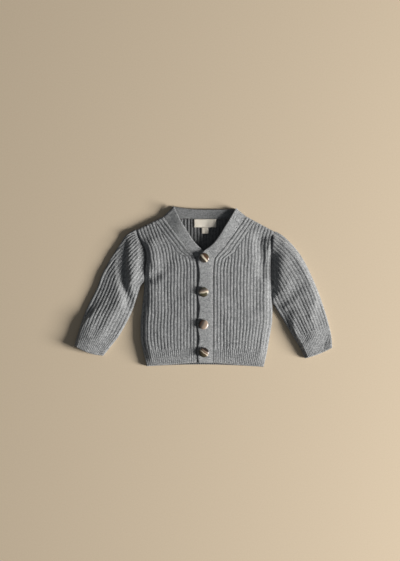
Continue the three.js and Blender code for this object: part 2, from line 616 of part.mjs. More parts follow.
// A sleeve is a flattened tube, open at the cuff and at the armhole. Four grids share its rows:
// the ribbed outside above, the two faces inside and the plain underside.
function sleeve(name, table, frontTable, ribs, folds) {
  const stitches = ribs * WIDE_RIB.length;
  const sections = sleeveSections(table, frontTable);
  const outerLine = sections.map(({ outer }) => ({ x: outer.x, y: outer.y, roll: 1 }));
  const innerLine = sections.map(({ inner, roll }) => ({ x: inner.x, y: inner.y, roll }));
  const lines = [outerLine, innerLine];
  const armpit = sections.findIndex(({ place }) => place === ARMPIT_ROW);
  const foldedLines = [outerLine, innerLine.slice(0, armpit + 1)];
  const airUnder = (point) => SLEEVE_FULLNESS * fullnessAt(point, lines) - foldDepth(point, folds);
  const ceiling = (point) => REST + Math.max(0, airUnder(point));
  const spacing = sections[armpit].length / stitches;
  const firstStitch = -Math.ceil(table.at(-1).slip / spacing);
  const raised = (point, z) => new THREE.Vector3(point.x, point.y, z);

  // The ribs spread evenly below the armpit. Above it they keep their spacing up to the armhole.
  const outsideOf = ({ length, at, open, slip, place: row }) => {
    const pitch = row < ARMPIT_ROW ? length / stitches : spacing;
    return Array.from({ length: stitches - firstStitch + 1 }, (_, column) => {
      const stitch = firstStitch + column;
      const place = stitch === stitches ? length : clamp(stitch * pitch + slip, 0, length);
      const fade = clamp((length - place) / pitch, 0, 1);
      const point = at(place);
      const rib = RIB_HEIGHT * fade * stitchHeight(stitch, row);
      const ribbed = ceiling(point) + wallAt(airUnder(point)) + rib;
      const low = open && place === length ? REST + EDGE : SEAM_HEIGHT;
      return raised(point, rolledHeight(ribbed, low, point, lines, SLEEVE_ROLL));
    });
  };
  const undersideOf = ({ length, at }) => {
    const reach = Math.min(1, length / (3 * SLEEVE_ROLL));
    const edgePlaces = SLEEVE_EDGE_PLACES.map((place) => place * reach);
    return plainPlaces(length, SLEEVE_PLAIN_COLUMNS, edgePlaces).map((place) => {
      const point = at(place);
      return raised(point, rolledHeight(0, SEAM_HEIGHT, point, foldedLines, SLEEVE_ROLL));
    });
  };
  const insideOf = ({ length, at, open }, heightAt) => {
    const outerInset = Math.min(WALL, length / 3);
    const insideLength = length - outerInset - (open ? 0 : WALL);
    const places = plainPlaces(insideLength, SLEEVE_PLAIN_COLUMNS, [0]);
    return places.map((place, i) => {
      const point = at(outerInset + place);
      const folded = i === 0 || (i === places.length - 1 && !open);
      return raised(point, folded ? SEAM_HEIGHT - EDGE : heightAt(point));
    });
  };

  const outside = sections.map(outsideOf);
  const inside = sections.map((section) => insideOf(section, ceiling));
  const floor = sections.map((section) => insideOf(section, () => UNDER_WALL));
  const underside = sections.map(undersideOf);
  const soup = [];
  addSurface(soup, outside);
  addSurface(soup, inside, true);
  addSurface(soup, floor);
  addSurface(soup, underside, true);
  for (const [upper, lower] of [[outside, inside], [floor, underside]]) {
    addRim(soup, upper[0], lower[0]);
    addRim(soup, column(upper, -1, armpit), column(lower, -1, armpit));
    addRim(soup, upper.at(-1).toReversed(), lower.at(-1).toReversed());
  }
  return woolMesh(name, geometryOf(soup));
}

// Bands

// Places across a band, close together where its two edges round down.
function bandPlaces(width) {
  return plainPlaces(width, BAND_TOP_COLUMNS, [0, BAND_ROUNDING / 3, BAND_ROUNDING]);
}

function bandSheet(name, sections, topAt, bottomAt) {
  const upper = [];
  const lower = [];
  for (const { from, to } of sections) {
    const width = from.distanceTo(to);
    const at = (place) => pointBetween(from, to, place / width);
    upper.push(bandPlaces(width).map((place) => {
      const point = at(place);
      const fromEdge = Math.min(place, width - place);
      const nearness = Math.max(0, 1 - fromEdge / BAND_ROUNDING);
      const z = topAt(point) - BAND_EDGE * nearness * nearness;
      return new THREE.Vector3(point.x, point.y, Math.max(z, bottomAt(point) + EDGE));
    }));
    lower.push(plainPlaces(width, BAND_LOWER_COLUMNS, [0]).map((place) => {
      const point = at(place);
      return new THREE.Vector3(point.x, point.y, bottomAt(point));
    }));
  }
  return woolMesh(name, sheetGeometry(upper, lower));
}

// Sections of a front band, from the seam with its front to its free edge, close together where
// the two bands cross at the foot of the neck.
function frontBandSections(table, neckRow, edgeShift) {
  const rows = refine(table, (i) => {
    if (i === table.length - 2) {
      return TOWARD_FOLD;
    }
    return Math.abs(i - neckRow) <= 1 ? [0.25, 0.5, 0.75, 1] : [0.5, 1];
  });
  const inward = Math.sign(table[0].seamX - table[0].sideX);
  return rows.map((row) => ({
    from: new THREE.Vector2(row.seamX + inward * GAP / 2, row.seamY),
    to: new THREE.Vector2(row.edgeX + edgeShift(row), row.edgeY),
  }));
}

// Where a front band turns over the shoulder to the back of the neck.
function bandFold(table) {
  const { seamX, seamY, edgeX, edgeY } = table.at(-1);
  return [
    { x: seamX, y: seamY, roll: 1 },
    { x: edgeX, y: edgeY, roll: 1 },
  ];
}

function rightFrontBand() {
  const sections = frontBandSections(RIGHT_FRONT, RIGHT_NECK_ROW, () => 0);
  const bottomAt = (point) => REST + neckLift(RIGHT_FRONT, point);
  const topAt = (point) => {
    const full = bottomAt(point) + BAND_THICKNESS;
    return rolledHeight(full, REST + EDGE, point, [bandFold(RIGHT_FRONT)], BAND_ROLL);
  };
  return bandSheet('right_front_band', sections, topAt, bottomAt);
}

// How far the left band is lifted by the right one, which it laps over below the neck slope.
function lapAt(point) {
  const underEdge = RIGHT_FRONT.map((row) => ({ x: row.edgeX, y: row.edgeY, roll: 0 }));
  const above = underEdge.findIndex((row) => row.y > point.y);
  const i = clamp(above, 1, underEdge.length - 1);
  const a = underEdge[i - 1];
  const b = underEdge[i];
  const edgeX = lerp(a.x, b.x, (point.y - a.y) / (b.y - a.y));
  const past = point.x > edgeX ? nearestOn(underEdge, point).distance : 0;
  return (BAND_THICKNESS + GAP) * (1 - smoothstep(past, LAP_FROM, LAP_TO));
}

function leftBandBottom(point) {
  return REST + lapAt(point) + neckLift(LEFT_FRONT, point);
}

function leftBandTop(point) {
  const full = leftBandBottom(point) + BAND_THICKNESS;
  return rolledHeight(full, REST + EDGE, point, [bandFold(LEFT_FRONT)], BAND_ROLL);
}

// The free edge of the left band swells beside each button and draws in between two of them.
function scallop(row) {
  if (row.edgeY > BUTTONS[0].y) {
    return 0;
  }
  const nearest = Math.min(...BUTTONS.map((button) => Math.abs(button.y - row.edgeY)));
  return -SCALLOP * Math.cos(Math.min(1, nearest / SCALLOP_REACH) * Math.PI);
}

function leftFrontBand() {
  const sections = frontBandSections(LEFT_FRONT, LEFT_NECK_ROW, scallop);
  return bandSheet('left_front_band', sections, leftBandTop, leftBandBottom);
}

function backNeckBand() {
  const rows = refine(NECK_BAND, (i) => {
    if (i === 0) {
      return FROM_FOLD;
    }
    return i === NECK_BAND.length - 2 ? TOWARD_FOLD : [1];
  });
  const sections = rows.map((row) => ({
    from: new THREE.Vector2(row.lowerX, row.lowerY),
    to: new THREE.Vector2(row.upperX, row.upperY),
  }));
  const folds = [bandFold(LEFT_FRONT), bandFold(RIGHT_FRONT)];
  const top = SEAM_HEIGHT - GAP / 2;
  const bottomAt = (point) => rolledHeight(0, top - EDGE, point, folds, BAND_ROLL);
  return bandSheet('back_neck_band', sections, () => top, bottomAt);
}

// The highest place of the left band under a button.
function bandUnder({ x, y }, radius) {
  const heights = [];
  for (let i = 0; i < BUTTON_SIDES; i++) {
    const angle = (i / BUTTON_SIDES) * 2 * Math.PI;
    const rim = { x: x + radius * Math.cos(angle), y: y + radius * Math.sin(angle) };
    heights.push(leftBandTop(rim));
  }
  return Math.max(leftBandTop({ x, y }), ...heights);
}

// A domed horn button with a low rim, lying on the left band.
function button({ name, x, y, turn }) {
  const radius = BUTTON_DIAMETER / 2;
  const base = bandUnder({ x, y }, radius) + GAP;
  const profile = BUTTON_UNDERSIDE.map(({ radiusShare, rimShare }) => (
    new THREE.Vector2(radiusShare * radius, rimShare * BUTTON_RIM)
  ));
  for (let i = 1; i < BUTTON_DOME_STEPS; i++) {
    const angle = (i / BUTTON_DOME_STEPS) * Math.PI / 2;
    const rise = (BUTTON_THICKNESS - BUTTON_RIM) * Math.sin(angle);
    profile.push(new THREE.Vector2(radius * Math.cos(angle), BUTTON_RIM + rise));
  }
  profile.push(new THREE.Vector2(0, BUTTON_THICKNESS));
  const geometry = new THREE.LatheGeometry(profile, BUTTON_SIDES).rotateX(Math.PI / 2);
  const mesh = meshOf(name, geometry, HORN, HORN_ROUGHNESS);
  mesh.position.set(x, y, base);
  mesh.rotation.z = degToRad(turn);
  return mesh;
}

// Woven labels lie flat on the inside of the back.
function labelSheet(name, { width, height, thickness, centreX }, topY) {
  const geometry = new THREE.BoxGeometry(width, height, thickness);
  const mesh = meshOf(name, geometry, LABEL_CREAM, LABEL_ROUGHNESS);
  mesh.position.set(centreX, topY - height / 2, REST + thickness / 2);
  return mesh;
}

const cardigan = new THREE.Group();
cardigan.add(
  backPanel(),
  frontPanel('left_front', LEFT_FRONT, LEFT_FRONT_RIBS, LEFT_NECK_ROW, LEFT_FRONT_FOLDS),
  frontPanel('right_front', RIGHT_FRONT, RIGHT_FRONT_RIBS, RIGHT_NECK_ROW, RIGHT_FRONT_FOLDS),
  sleeve('left_sleeve', LEFT_SLEEVE, LEFT_FRONT, LEFT_SLEEVE_RIBS, LEFT_SLEEVE_FOLDS),
  sleeve('right_sleeve', RIGHT_SLEEVE, RIGHT_FRONT, RIGHT_SLEEVE_RIBS, RIGHT_SLEEVE_FOLDS),
  rightFrontBand(),
  leftFrontBand(),
  backNeckBand(),
  labelSheet('neck_label', LABEL, LABEL.topY),
  labelSheet('size_tab', SIZE_TAB, LABEL.topY - LABEL.height - GAP),
  ...BUTTONS.map(button),
);

// The origin is on the surface, under the middle of the whole garment.
const middle = new THREE.Box3().setFromObject(cardigan).getCenter(new THREE.Vector3());
cardigan.position.set(-middle.x, -middle.y, 0);

export default cardigan;
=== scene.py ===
"""A ribbed wool baby cardigan with four horn buttons, laid flat on its back."""
import math

import bmesh
import bpy
import numpy as np
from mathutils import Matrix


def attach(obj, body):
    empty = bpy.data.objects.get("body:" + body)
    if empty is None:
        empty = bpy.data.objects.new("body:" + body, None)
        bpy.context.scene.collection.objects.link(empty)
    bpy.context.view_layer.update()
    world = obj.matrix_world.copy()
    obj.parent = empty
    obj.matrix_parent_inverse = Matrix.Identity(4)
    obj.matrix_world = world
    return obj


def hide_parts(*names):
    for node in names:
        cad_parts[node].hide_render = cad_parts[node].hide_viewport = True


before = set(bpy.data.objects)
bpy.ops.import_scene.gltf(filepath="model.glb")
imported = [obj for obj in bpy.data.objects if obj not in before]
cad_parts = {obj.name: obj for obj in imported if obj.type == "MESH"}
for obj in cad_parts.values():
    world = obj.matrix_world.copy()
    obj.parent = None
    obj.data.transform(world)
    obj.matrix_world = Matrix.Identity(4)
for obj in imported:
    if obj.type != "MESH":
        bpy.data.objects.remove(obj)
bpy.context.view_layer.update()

# The place: a plain pale table top seen from straight above, lit softly and low from the right,
# as the photograph shows it. Sizes here are in metres.
CAMERA_HEIGHT = 1.9
SEEN_HEIGHT = 1.0098  # what the long side of the picture takes in at the cloth
SEEN_CENTRE = (-0.0059, 0.0106)
CLOTH_MIDDLE = 0.006
SENSOR = 36.0

camera = bpy.data.objects.new("camera", bpy.data.cameras.new("camera"))
camera.data.sensor_width = SENSOR
camera.data.lens = SENSOR * (CAMERA_HEIGHT - CLOTH_MIDDLE) / SEEN_HEIGHT
camera.location = (*SEEN_CENTRE, CAMERA_HEIGHT)
bpy.context.collection.objects.link(camera)
bpy.context.scene.camera = camera
bpy.context.scene.view_settings.view_transform = "Standard"


def area_light(name, towards, distance, size, power, colour):
    """A soft square lamp, at a distance in the direction given, that faces the cloth."""
    lamp = bpy.data.objects.new(name, bpy.data.lights.new(name, "AREA"))
    lamp.data.size, lamp.data.energy, lamp.data.color = size, power, colour
    reach = math.sqrt(sum(part * part for part in towards))
    lamp.location = [part * distance / reach for part in towards]
    lamp.rotation_mode = "QUATERNION"
    lamp.rotation_quaternion = lamp.location.to_track_quat("Z", "Y")
    bpy.context.collection.objects.link(lamp)


area_light("window", towards=(0.95, -0.25, 0.35), distance=4.5, size=1.5, power=535,
           colour=(1.0, 0.985, 0.96))

world = bpy.data.worlds.new("room")
world.use_nodes = True
room_light = world.node_tree.nodes["Background"].inputs
room_light["Color"].default_value = (0.9, 0.95, 1.0, 1)
room_light["Strength"].default_value = 0.13
bpy.context.scene.world = world


class Thread:
    """One output in a finish. Sums on it add Math nodes."""

    def __init__(self, finish, socket):
        self.finish, self.socket = finish, socket

    def _math(self, operation, *values):
        return self.finish.node("ShaderNodeMath", {"operation": operation}, dict(enumerate(values)))

    def __add__(self, other):
        return self._math("ADD", self, other)

    def __mul__(self, other):
        return self._math("MULTIPLY", self, other)

    __radd__, __rmul__ = __add__, __mul__

    def __sub__(self, other):
        return self._math("SUBTRACT", self, other)

    def __rsub__(self, other):
        return self._math("SUBTRACT", other, self)

    def __pow__(self, power):
        return self._math("POWER", self, power)

    def __abs__(self):
        return self._math("ABSOLUTE", self)

    def part(self):
        """Its share past the whole number below it."""
        return self._math("FRACT", self)

    def sine(self):
        return self._math("SINE", self)

    def clamped(self):
        """Kept between 0 and 1."""
        return self._math("MAXIMUM", self._math("MINIMUM", self, 1.0), 0.0)


class Finish:
    """A material whose nodes are added one at a time."""

    def __init__(self, name, **steady):
        self.material = bpy.data.materials.new(name)
        self.material.use_nodes = True
        self.tree = self.material.node_tree
        self.shader = self.tree.nodes["Principled BSDF"]
        for socket, value in steady.items():
            self.shader.inputs[socket.replace("_", " ")].default_value = value

    def node(self, kind, settings=None, values=None, output=0):
        """Adds a node: its settings are set first, then its sockets get values or links."""
        made = self.tree.nodes.new(kind)
        for name, value in (settings or {}).items():
            if name == "stops":
                self._set_stops(made.color_ramp, value)
            else:
                setattr(made, name, value)
        for key, value in (values or {}).items():
            self._feed(made.inputs[key], value)
        return Thread(self, made.outputs[output])

    @staticmethod
    def _set_stops(ramp, stops):
        for place, _ in stops[len(ramp.elements):]:
            ramp.elements.new(place)
        for element, (place, colour) in zip(ramp.elements, stops):
            element.position, element.color = place, (*colour, 1)

    def _feed(self, socket, value):
        if isinstance(value, Thread):
            self.tree.links.new(value.socket, socket)
        else:
            socket.default_value = value

    def mix(self, share, first, second):
        """A colour between two others. Sockets 0, 6 and 7 are the share and the colours."""
        first, second = (c if isinstance(c, Thread) else (*c, 1) for c in (first, second))
        return self.node("ShaderNodeMix", {"data_type": "RGBA"}, {0: share, 6: first, 7: second}, 2)

    def place(self):
        """The point of the object that is being coloured, in metres."""
        return self.node("ShaderNodeTexCoord", output="Object")

    def noise(self, at, scale, detail=2.0, roughness=0.5):
        return self.node("ShaderNodeTexNoise", None,
                         {"Vector": at, "Scale": scale, "Detail": detail, "Roughness": roughness})

    def shade(self, socket, value):
        self._feed(self.shader.inputs[socket], value)

    def relief(self, height, depth, strength=1.0):
        """Makes the surface look raised by height times depth, which is in metres."""
        values = {"Strength": strength, "Distance": depth, "Height": height}
        self.shade("Normal", self.node("ShaderNodeBump", None, values))


def placed(name, bm):
    """Puts a finished bmesh into the scene as an object."""
    mesh = bpy.data.meshes.new(name)
    bm.to_mesh(mesh)
    bm.free()
    obj = bpy.data.objects.new(name, mesh)
    bpy.context.collection.objects.link(obj)
    return obj


TABLE_HALF = 4.0
square = bmesh.new()
bmesh.ops.create_grid(square, x_segments=1, y_segments=1, size=TABLE_HALF)
table_top = placed("table_top", square)
table_finish = Finish("pale_table", Roughness=0.85)
table_grain = table_finish.noise(table_finish.place(), 420.0, 3.0)
table_colour = table_finish.mix(table_grain, (0.53, 0.43, 0.305), (0.60, 0.49, 0.355))
table_finish.shade("Base Color", table_colour)
table_top.data.materials.append(table_finish.material)


# The knitting: heather grey wool, knitted in wide ribs of two raised stitches and one sunk one.
# The body is a back and two fronts whose side edges meet, so the fronts' outlines below are the
# back's too. All cloth is shaped here in millimetres and made in metres.
MM = 0.001
MIDDLE_Y = 0.7  # the frame's origin is in the middle of the garment, this far from the tables' one
STITCH = 1.98  # width of one stitch
KNIT_ROW = 1.55  # height of one stitch
WIDE_RIB = 3  # stitches from one groove to the next
FINE_RIB = 2
RIB_FLANK = 1.4  # stitches from a groove to the flat top of a wide rib
RIB_ROUNDNESS = 1.1
RIB_UNEVENNESS = 0.12
UNEVEN_SCALE = 1.9  # how much closer the ribs' height changes than their run
SAMPLES = 3  # columns of points for each stitch
GAP = 0.3  # between two pieces
SEAM_HEIGHT = 4.4  # middle of the fold at the side and shoulder seams
REST = SEAM_HEIGHT + GAP / 2  # the inside of the upper layer where no air is under it
THINNEST = 0.3  # of any wall
EDGE = 0.4  # what is left of the cloth where an edge rounds down
END_EDGE = 0.5  # and at the hems of the fronts and the ends of the neck band
SIDE_ROLL = 3.4  # how far from a seam the body begins to round over
ARMHOLE_ROLL = 4.0
SHOULDER_ROLL = 4.0
ARMHOLE_FROM, ARMHOLE_TO = -30, 15  # the armhole's roll and reach take over between these y
CREST = 4.0  # top of a rib above the inside of the cloth
GROOVE = 3.25  # and the bottom of a groove
FINE_GROOVE = 3.5
HEM_ROUNDING = 2.0
REACH = 14.0  # how far from an edge the cloth is at its fullest
ARMHOLE_REACH = 9.5
SHOULDER_REACH = 42.0
SECTION_STEP = 2.4
BACK_THICKNESS = 2.4
LIFT_REACH = 40.0  # the neck edges of the fronts stand up within this distance of them
BODY_SWELL = 3.6  # how far the fronts and bands rise toward the middle of the body
SWELL_MIDDLE, SWELL_LEFT, SWELL_RIGHT = 36, 84, 150  # its x, and its width on either side
SWELL_RISES, SWELL_FALLS = (-145, -95), (50, 120)  # between these y
BODY_FULLNESS = 4.8  # air under the fronts away from their seams
HEM_FULLNESS = 0.2  # the share of it at the hem
HEM_FILLS = (-142, -126)  # that share grows to 1 between these y
SWAY_WAVES = [  # radians for each mm along y and x, start, weight
    (0.062, 0.031, 0, 1), (0.117, -0.083, 1.3, 0.7), (0.21, 0.16, 2.1, 0.5),
]

# Side is the side seam and then the armhole, seam is where the band is sewn on, edge is the
# band's free edge, roll is how far the side edge is rolled down into its seam, and lift is how
# far the free edge stands up.
OUTLINE_COLUMNS = ("side_x", "side_y", "seam_x", "seam_y", "edge_x", "edge_y", "roll", "lift")
LEFT_OUTLINE = np.array([
    (108.5, -145.8, 17.8, -138.2, -9, -138, 1, 0),
    (112.5, -130, 17.8, -126, -9, -126, 1, 0),
    (115.8, -114, 17.8, -113, -9, -113, 1, 0),
    (119, -95, 17.8, -95, -9, -95, 1, 0),
    (122, -78, 17.8, -78, -9, -78, 1, 0),
    (124.4, -60, 17.8, -60, -9, -60, 1, 0),
    (124.6, -43, 17.8, -43, -9, -43, 1, 0),
    (123.6, -27, 17.8, -27, -9, -27, 1, 0),
    (122.3, 0, 17.8, 0, -9, 0, 1, 0),
    (121.6, 27, 17.8, 25, -9, 25, 1, 0),
    (122, 50, 20, 47, -8.5, 51, 0.9, 1),
    (122.2, 68, 37, 69, 20, 79, 0.5, 2.9),
    (124.2, 84, 57, 96, 40, 109, 0.2, 3.6),
    (127.8, 98, 77.4, 125.3, 58.9, 140.4, 0.08, 0),
])
RIGHT_OUTLINE = np.array([
    (-102, -144.5, -12, -137.8, 10, -137.6, 1, 0),
    (-105.5, -130, -12, -126, 10, -126, 1, 0),
    (-109.5, -114, -12, -113, 10, -113, 1, 0),
    (-113, -92, -12, -92, 10, -92, 1, 0),
    (-113, -70, -12, -70, 10, -70, 1, 0),
    (-111, -45, -12, -45, 10, -45, 1, 0),
    (-108, -20, -12, -20, 10, -20, 1, 0),
    (-105.8, 10, -12, 10, 10, 10, 1, 0),
    (-104.6, 32, -12, 31, 10, 34, 1, 0),
    (-102.8, 51, -14.8, 51.3, 3.6, 57.6, 1, 0.5),
    (-105.5, 66.6, -30.4, 69.5, -15.5, 78.5, 0.95, 2),
    (-113, 81, -48, 92.5, -31.5, 103, 0.85, 2.4),
    (-117.5, 91.5, -60, 108.5, -42.5, 121.5, 0.7, 1.6),
    (-120.5, 101.5, -72.2, 125.3, -53.5, 144.4, 0.5, 0),
])
HEM_ROW, WIDEST_ROW, ARMPIT_ROW = 2, 5, 7
# The neck edge of the back, between the two shoulders, and its hem's arch above the side seams.
NECK_EDGE = np.array([
    (-57, 121.7), (-32, 120.7), (1, 120.3), (34, 120.3), (61, 121.3),
])
HEM_ARCH = 3.6
NECK_RISE = np.array([0, 0, 0, 0, 0, 0, 0, 0, 0, 0, 0.15, 0.35, 0.65, 1])


def curve_through(table, places):
    """Rows at places between a table's rows, on a curve that never swings past them."""
    steps = np.diff(table, axis=0)
    same_way = steps[:-1] * steps[1:] > 0
    total = np.where(same_way, steps[:-1] + steps[1:], 1)
    inner_slopes = np.where(same_way, 2 * steps[:-1] * steps[1:] / total, 0)
    slopes = np.vstack([steps[:1], inner_slopes, steps[-1:]])
    i = np.clip(np.floor(places).astype(int), 0, len(table) - 2)
    f = (places - i)[:, None]
    rise = steps[i]
    return (table[i] + slopes[i] * f + (3 * rise - 2 * slopes[i] - slopes[i + 1]) * f ** 2
            + (slopes[i] + slopes[i + 1] - 2 * rise) * f ** 3)


def outline(table, places):
    """The outline's columns by name, at places between its rows."""
    return dict(zip(OUTLINE_COLUMNS, curve_through(table, places).T))


def line_of(rows, name):
    """The line through the points that rows of named columns give."""
    return np.stack([rows[name + "_x"], rows[name + "_y"]], axis=-1)


def section_places(table, ends=(0.02, 0.05, 0.09, 0.14, 0.2)):
    """Places of sections along a table, a few millimetres apart and closer at both ends."""
    places = []
    for i, step in enumerate(np.diff(table, axis=0)):
        length = max(math.hypot(*step[:2]), math.hypot(*step[2:4]))
        places.extend(i + np.arange(0, 1, 1 / math.ceil(length / SECTION_STEP)))
    last = len(table) - 1
    places = [p for p in places if ends[-1] < p < last - ends[-1]]
    return np.array([0, *ends, *places, *(last - np.array(ends[::-1])), last])


def nearest_on(line, points, values=None):
    """How far points are from a line, and the line's value at the nearest place."""
    best = np.full(points.shape[:-1], np.inf)
    found = np.zeros(points.shape[:-1])
    values = np.zeros(len(line)) if values is None else values
    for a, b, va, vb in zip(line[:-1], line[1:], values[:-1], values[1:]):
        along, offset = b - a, points - a
        share = np.clip(offset @ along / max(along @ along, 1e-9), 0, 1)
        distance = np.linalg.norm(offset - share[..., None] * along, axis=-1)
        nearer = distance < best
        best = np.where(nearer, distance, best)
        found = np.where(nearer, va + (vb - va) * share, found)
    return best, found


def smooth_step(x, low, high):
    x = np.clip((x - low) / (high - low), 0, 1)
    return x * x * (3 - 2 * x)


def rounded_end(distance, width=HEM_ROUNDING):
    """1 away from an end and 0 at it, on a quarter circle."""
    near = np.clip(1 - distance / width, 0, 1)
    return np.sqrt(1 - near * near)


def rolled(full, low, points, lines, widths):
    """A height that rounds over from full to low toward each rolled line, within its width."""
    drop = np.zeros(points.shape[:-1])
    for (line, roll), width in zip(lines, widths):
        distance, at = nearest_on(line, points, roll)
        drop = np.maximum(drop, at * (1 - rounded_end(distance, width)))
    return full + (low - full) * drop


def fullness(points, lines, reaches):
    """How full the cloth lies: low on the rolled lines and 1 well inside them."""
    full = np.ones(points.shape[:-1])
    for (line, roll), reach in zip(lines, reaches):
        distance, at = nearest_on(line, points, roll)
        full = np.minimum(full, 1 - at * (1 - smooth_step(distance, 0, reach)))
    return full


def air_under(points, lines, reaches=(REACH, SHOULDER_REACH)):
    """The air under a front before it is folded. There is less of it toward the hem."""
    from_hem = smooth_step(points[..., 1], *HEM_FILLS)
    share = HEM_FULLNESS + (1 - HEM_FULLNESS) * from_hem
    return BODY_FULLNESS * fullness(points, lines, reaches) * share


def folds_at(points, folds):
    """How deep the folds lie: the deepest trough and the highest ridge at each point."""
    trough, ridge = np.zeros((2, *points.shape[:-1]))
    for from_x, from_y, to_x, to_y, width, deep in folds:
        distance, _ = nearest_on(np.array([(from_x, from_y), (to_x, to_y)]), points)
        depth = deep * np.exp(-(distance / width) ** 2)
        trough, ridge = np.maximum(trough, depth), np.minimum(ridge, depth)
    return trough + ridge


def neck_lift(table, points):
    """How far the neck edge of a front and its band stand up."""
    distance, high = nearest_on(table[:, 4:6], points, table[:, 7])
    return high * (1 - smooth_step(distance, 0, LIFT_REACH))


def swell(points):
    """How far the fronts rise toward the middle of the body, where the cloth is thickest."""
    x, y = points[..., 0], points[..., 1]
    width = np.where(x < SWELL_MIDDLE, SWELL_RIGHT, SWELL_LEFT)
    across = np.clip(1 - ((x - SWELL_MIDDLE) / width) ** 2, 0, 1)
    return BODY_SWELL * across * smooth_step(y, *SWELL_RISES) * (1 - smooth_step(y, *SWELL_FALLS))


def sway(points):
    """How unevenly the ribs lie, from about -1 to 1, in slow waves along and across them."""
    x, y = points[..., 0], points[..., 1]
    return sum(weight * np.sin(by_y * y + by_x * x + start)
               for by_y, by_x, start, weight in SWAY_WAVES) / 2


def rib_height(stitch, fine):
    """How high a rib stands at a place counted in stitches. Fine is 1 in the hem and cuffs."""
    past = stitch % WIDE_RIB
    flank = np.clip(np.minimum(past, WIDE_RIB - past) / RIB_FLANK, 0, 1)
    wide = np.sin(np.pi / 2 * flank) ** RIB_ROUNDNESS
    narrow = 0.5 - 0.5 * np.cos(2 * np.pi * stitch / FINE_RIB)
    return wide + (narrow - wide) * fine


def knitted(name, outer, inner, knit, rib, open_strip=None):
    """A closed wall of cloth. Its outer and inner faces are grids of points with the same rows and
    columns, knit is the place of each in stitches and rows, and rib is how high its rib stands."""
    rows, columns = outer.shape[:2]
    bm = bmesh.new()
    bmesh.ops.create_grid(bm, x_segments=columns - 1, y_segments=rows - 1, size=1)
    behind = bm.verts.layers.float_vector.new("behind")
    # The rib height is kept on the points; the wool also uses it to paint shade into the grooves.
    raised = bm.verts.layers.float.new("rib")
    stitches = bm.loops.layers.uv.new("knit")
    outer, inner = ((face + (0, MIDDLE_Y, 0)) * MM for face in (outer, inner))
    places = {}
    for vert in bm.verts:
        r = round((vert.co.y + 1) / 2 * (rows - 1))
        c = round((vert.co.x + 1) / 2 * (columns - 1))
        places[vert] = r, c
        vert.co = outer[r, c]
        vert[behind] = inner[r, c]
        vert[raised] = rib[r, c]
    for face in bm.faces:
        for loop in face.loops:
            loop[stitches].uv = knit[places[loop.vert]]
    if open_strip:
        column, from_row = open_strip
        corners = {(r, c) for r in range(from_row, rows) for c in (column, column + 1)}
        gone = [face for face in bm.faces if all(places[vert] in corners for vert in face.verts)]
        bmesh.ops.delete(bm, geom=gone, context="FACES_ONLY")
    bmesh.ops.remove_doubles(bm, verts=bm.verts, dist=2e-6)
    wall = bmesh.ops.extrude_face_region(bm, geom=bm.faces[:])
    for vert in wall["geom"]:
        if isinstance(vert, bmesh.types.BMVert):
            vert.co = vert[behind]
    bmesh.ops.remove_doubles(bm, verts=bm.verts, dist=2e-6)
    bmesh.ops.recalc_face_normals(bm, faces=bm.faces)
    bm.verts.layers.float_vector.remove(behind)
    obj = placed(name, bm)
    obj.data.shade_smooth()
    return obj


def points_of(plan, heights):
    return np.concatenate([plan, heights[..., None]], axis=-1)


def rib_surface(inside, plan, ribs, fine):
    """The outer face of ribbed cloth: its ribs stand unevenly on the inside's height."""
    groove = GROOVE + (FINE_GROOVE - GROOVE) * fine
    uneven = 1 + RIB_UNEVENNESS * sway(plan * UNEVEN_SCALE)
    return inside + groove + (CREST - groove) * ribs * uneven


def fine_share(places):
    """1 in the fine rib of a hem or cuff and 0 past it."""
    return smooth_step(-places[:, None], -HEM_ROW - 0.1, -HEM_ROW + 0.1)


def stitch_places(stitch, line, row_height=KNIT_ROW):
    """The place of each point in stitches across and knitted rows along a line."""
    row_count = np.cumsum(np.r_[0, np.hypot(*np.diff(line, axis=0).T)]) / row_height
    return np.stack([stitch, np.broadcast_to(row_count[:, None], stitch.shape)], axis=-1)


DARK_FIBRE = (0.176, 0.181, 0.184)
LIGHT_FIBRE = (0.415, 0.42, 0.422)


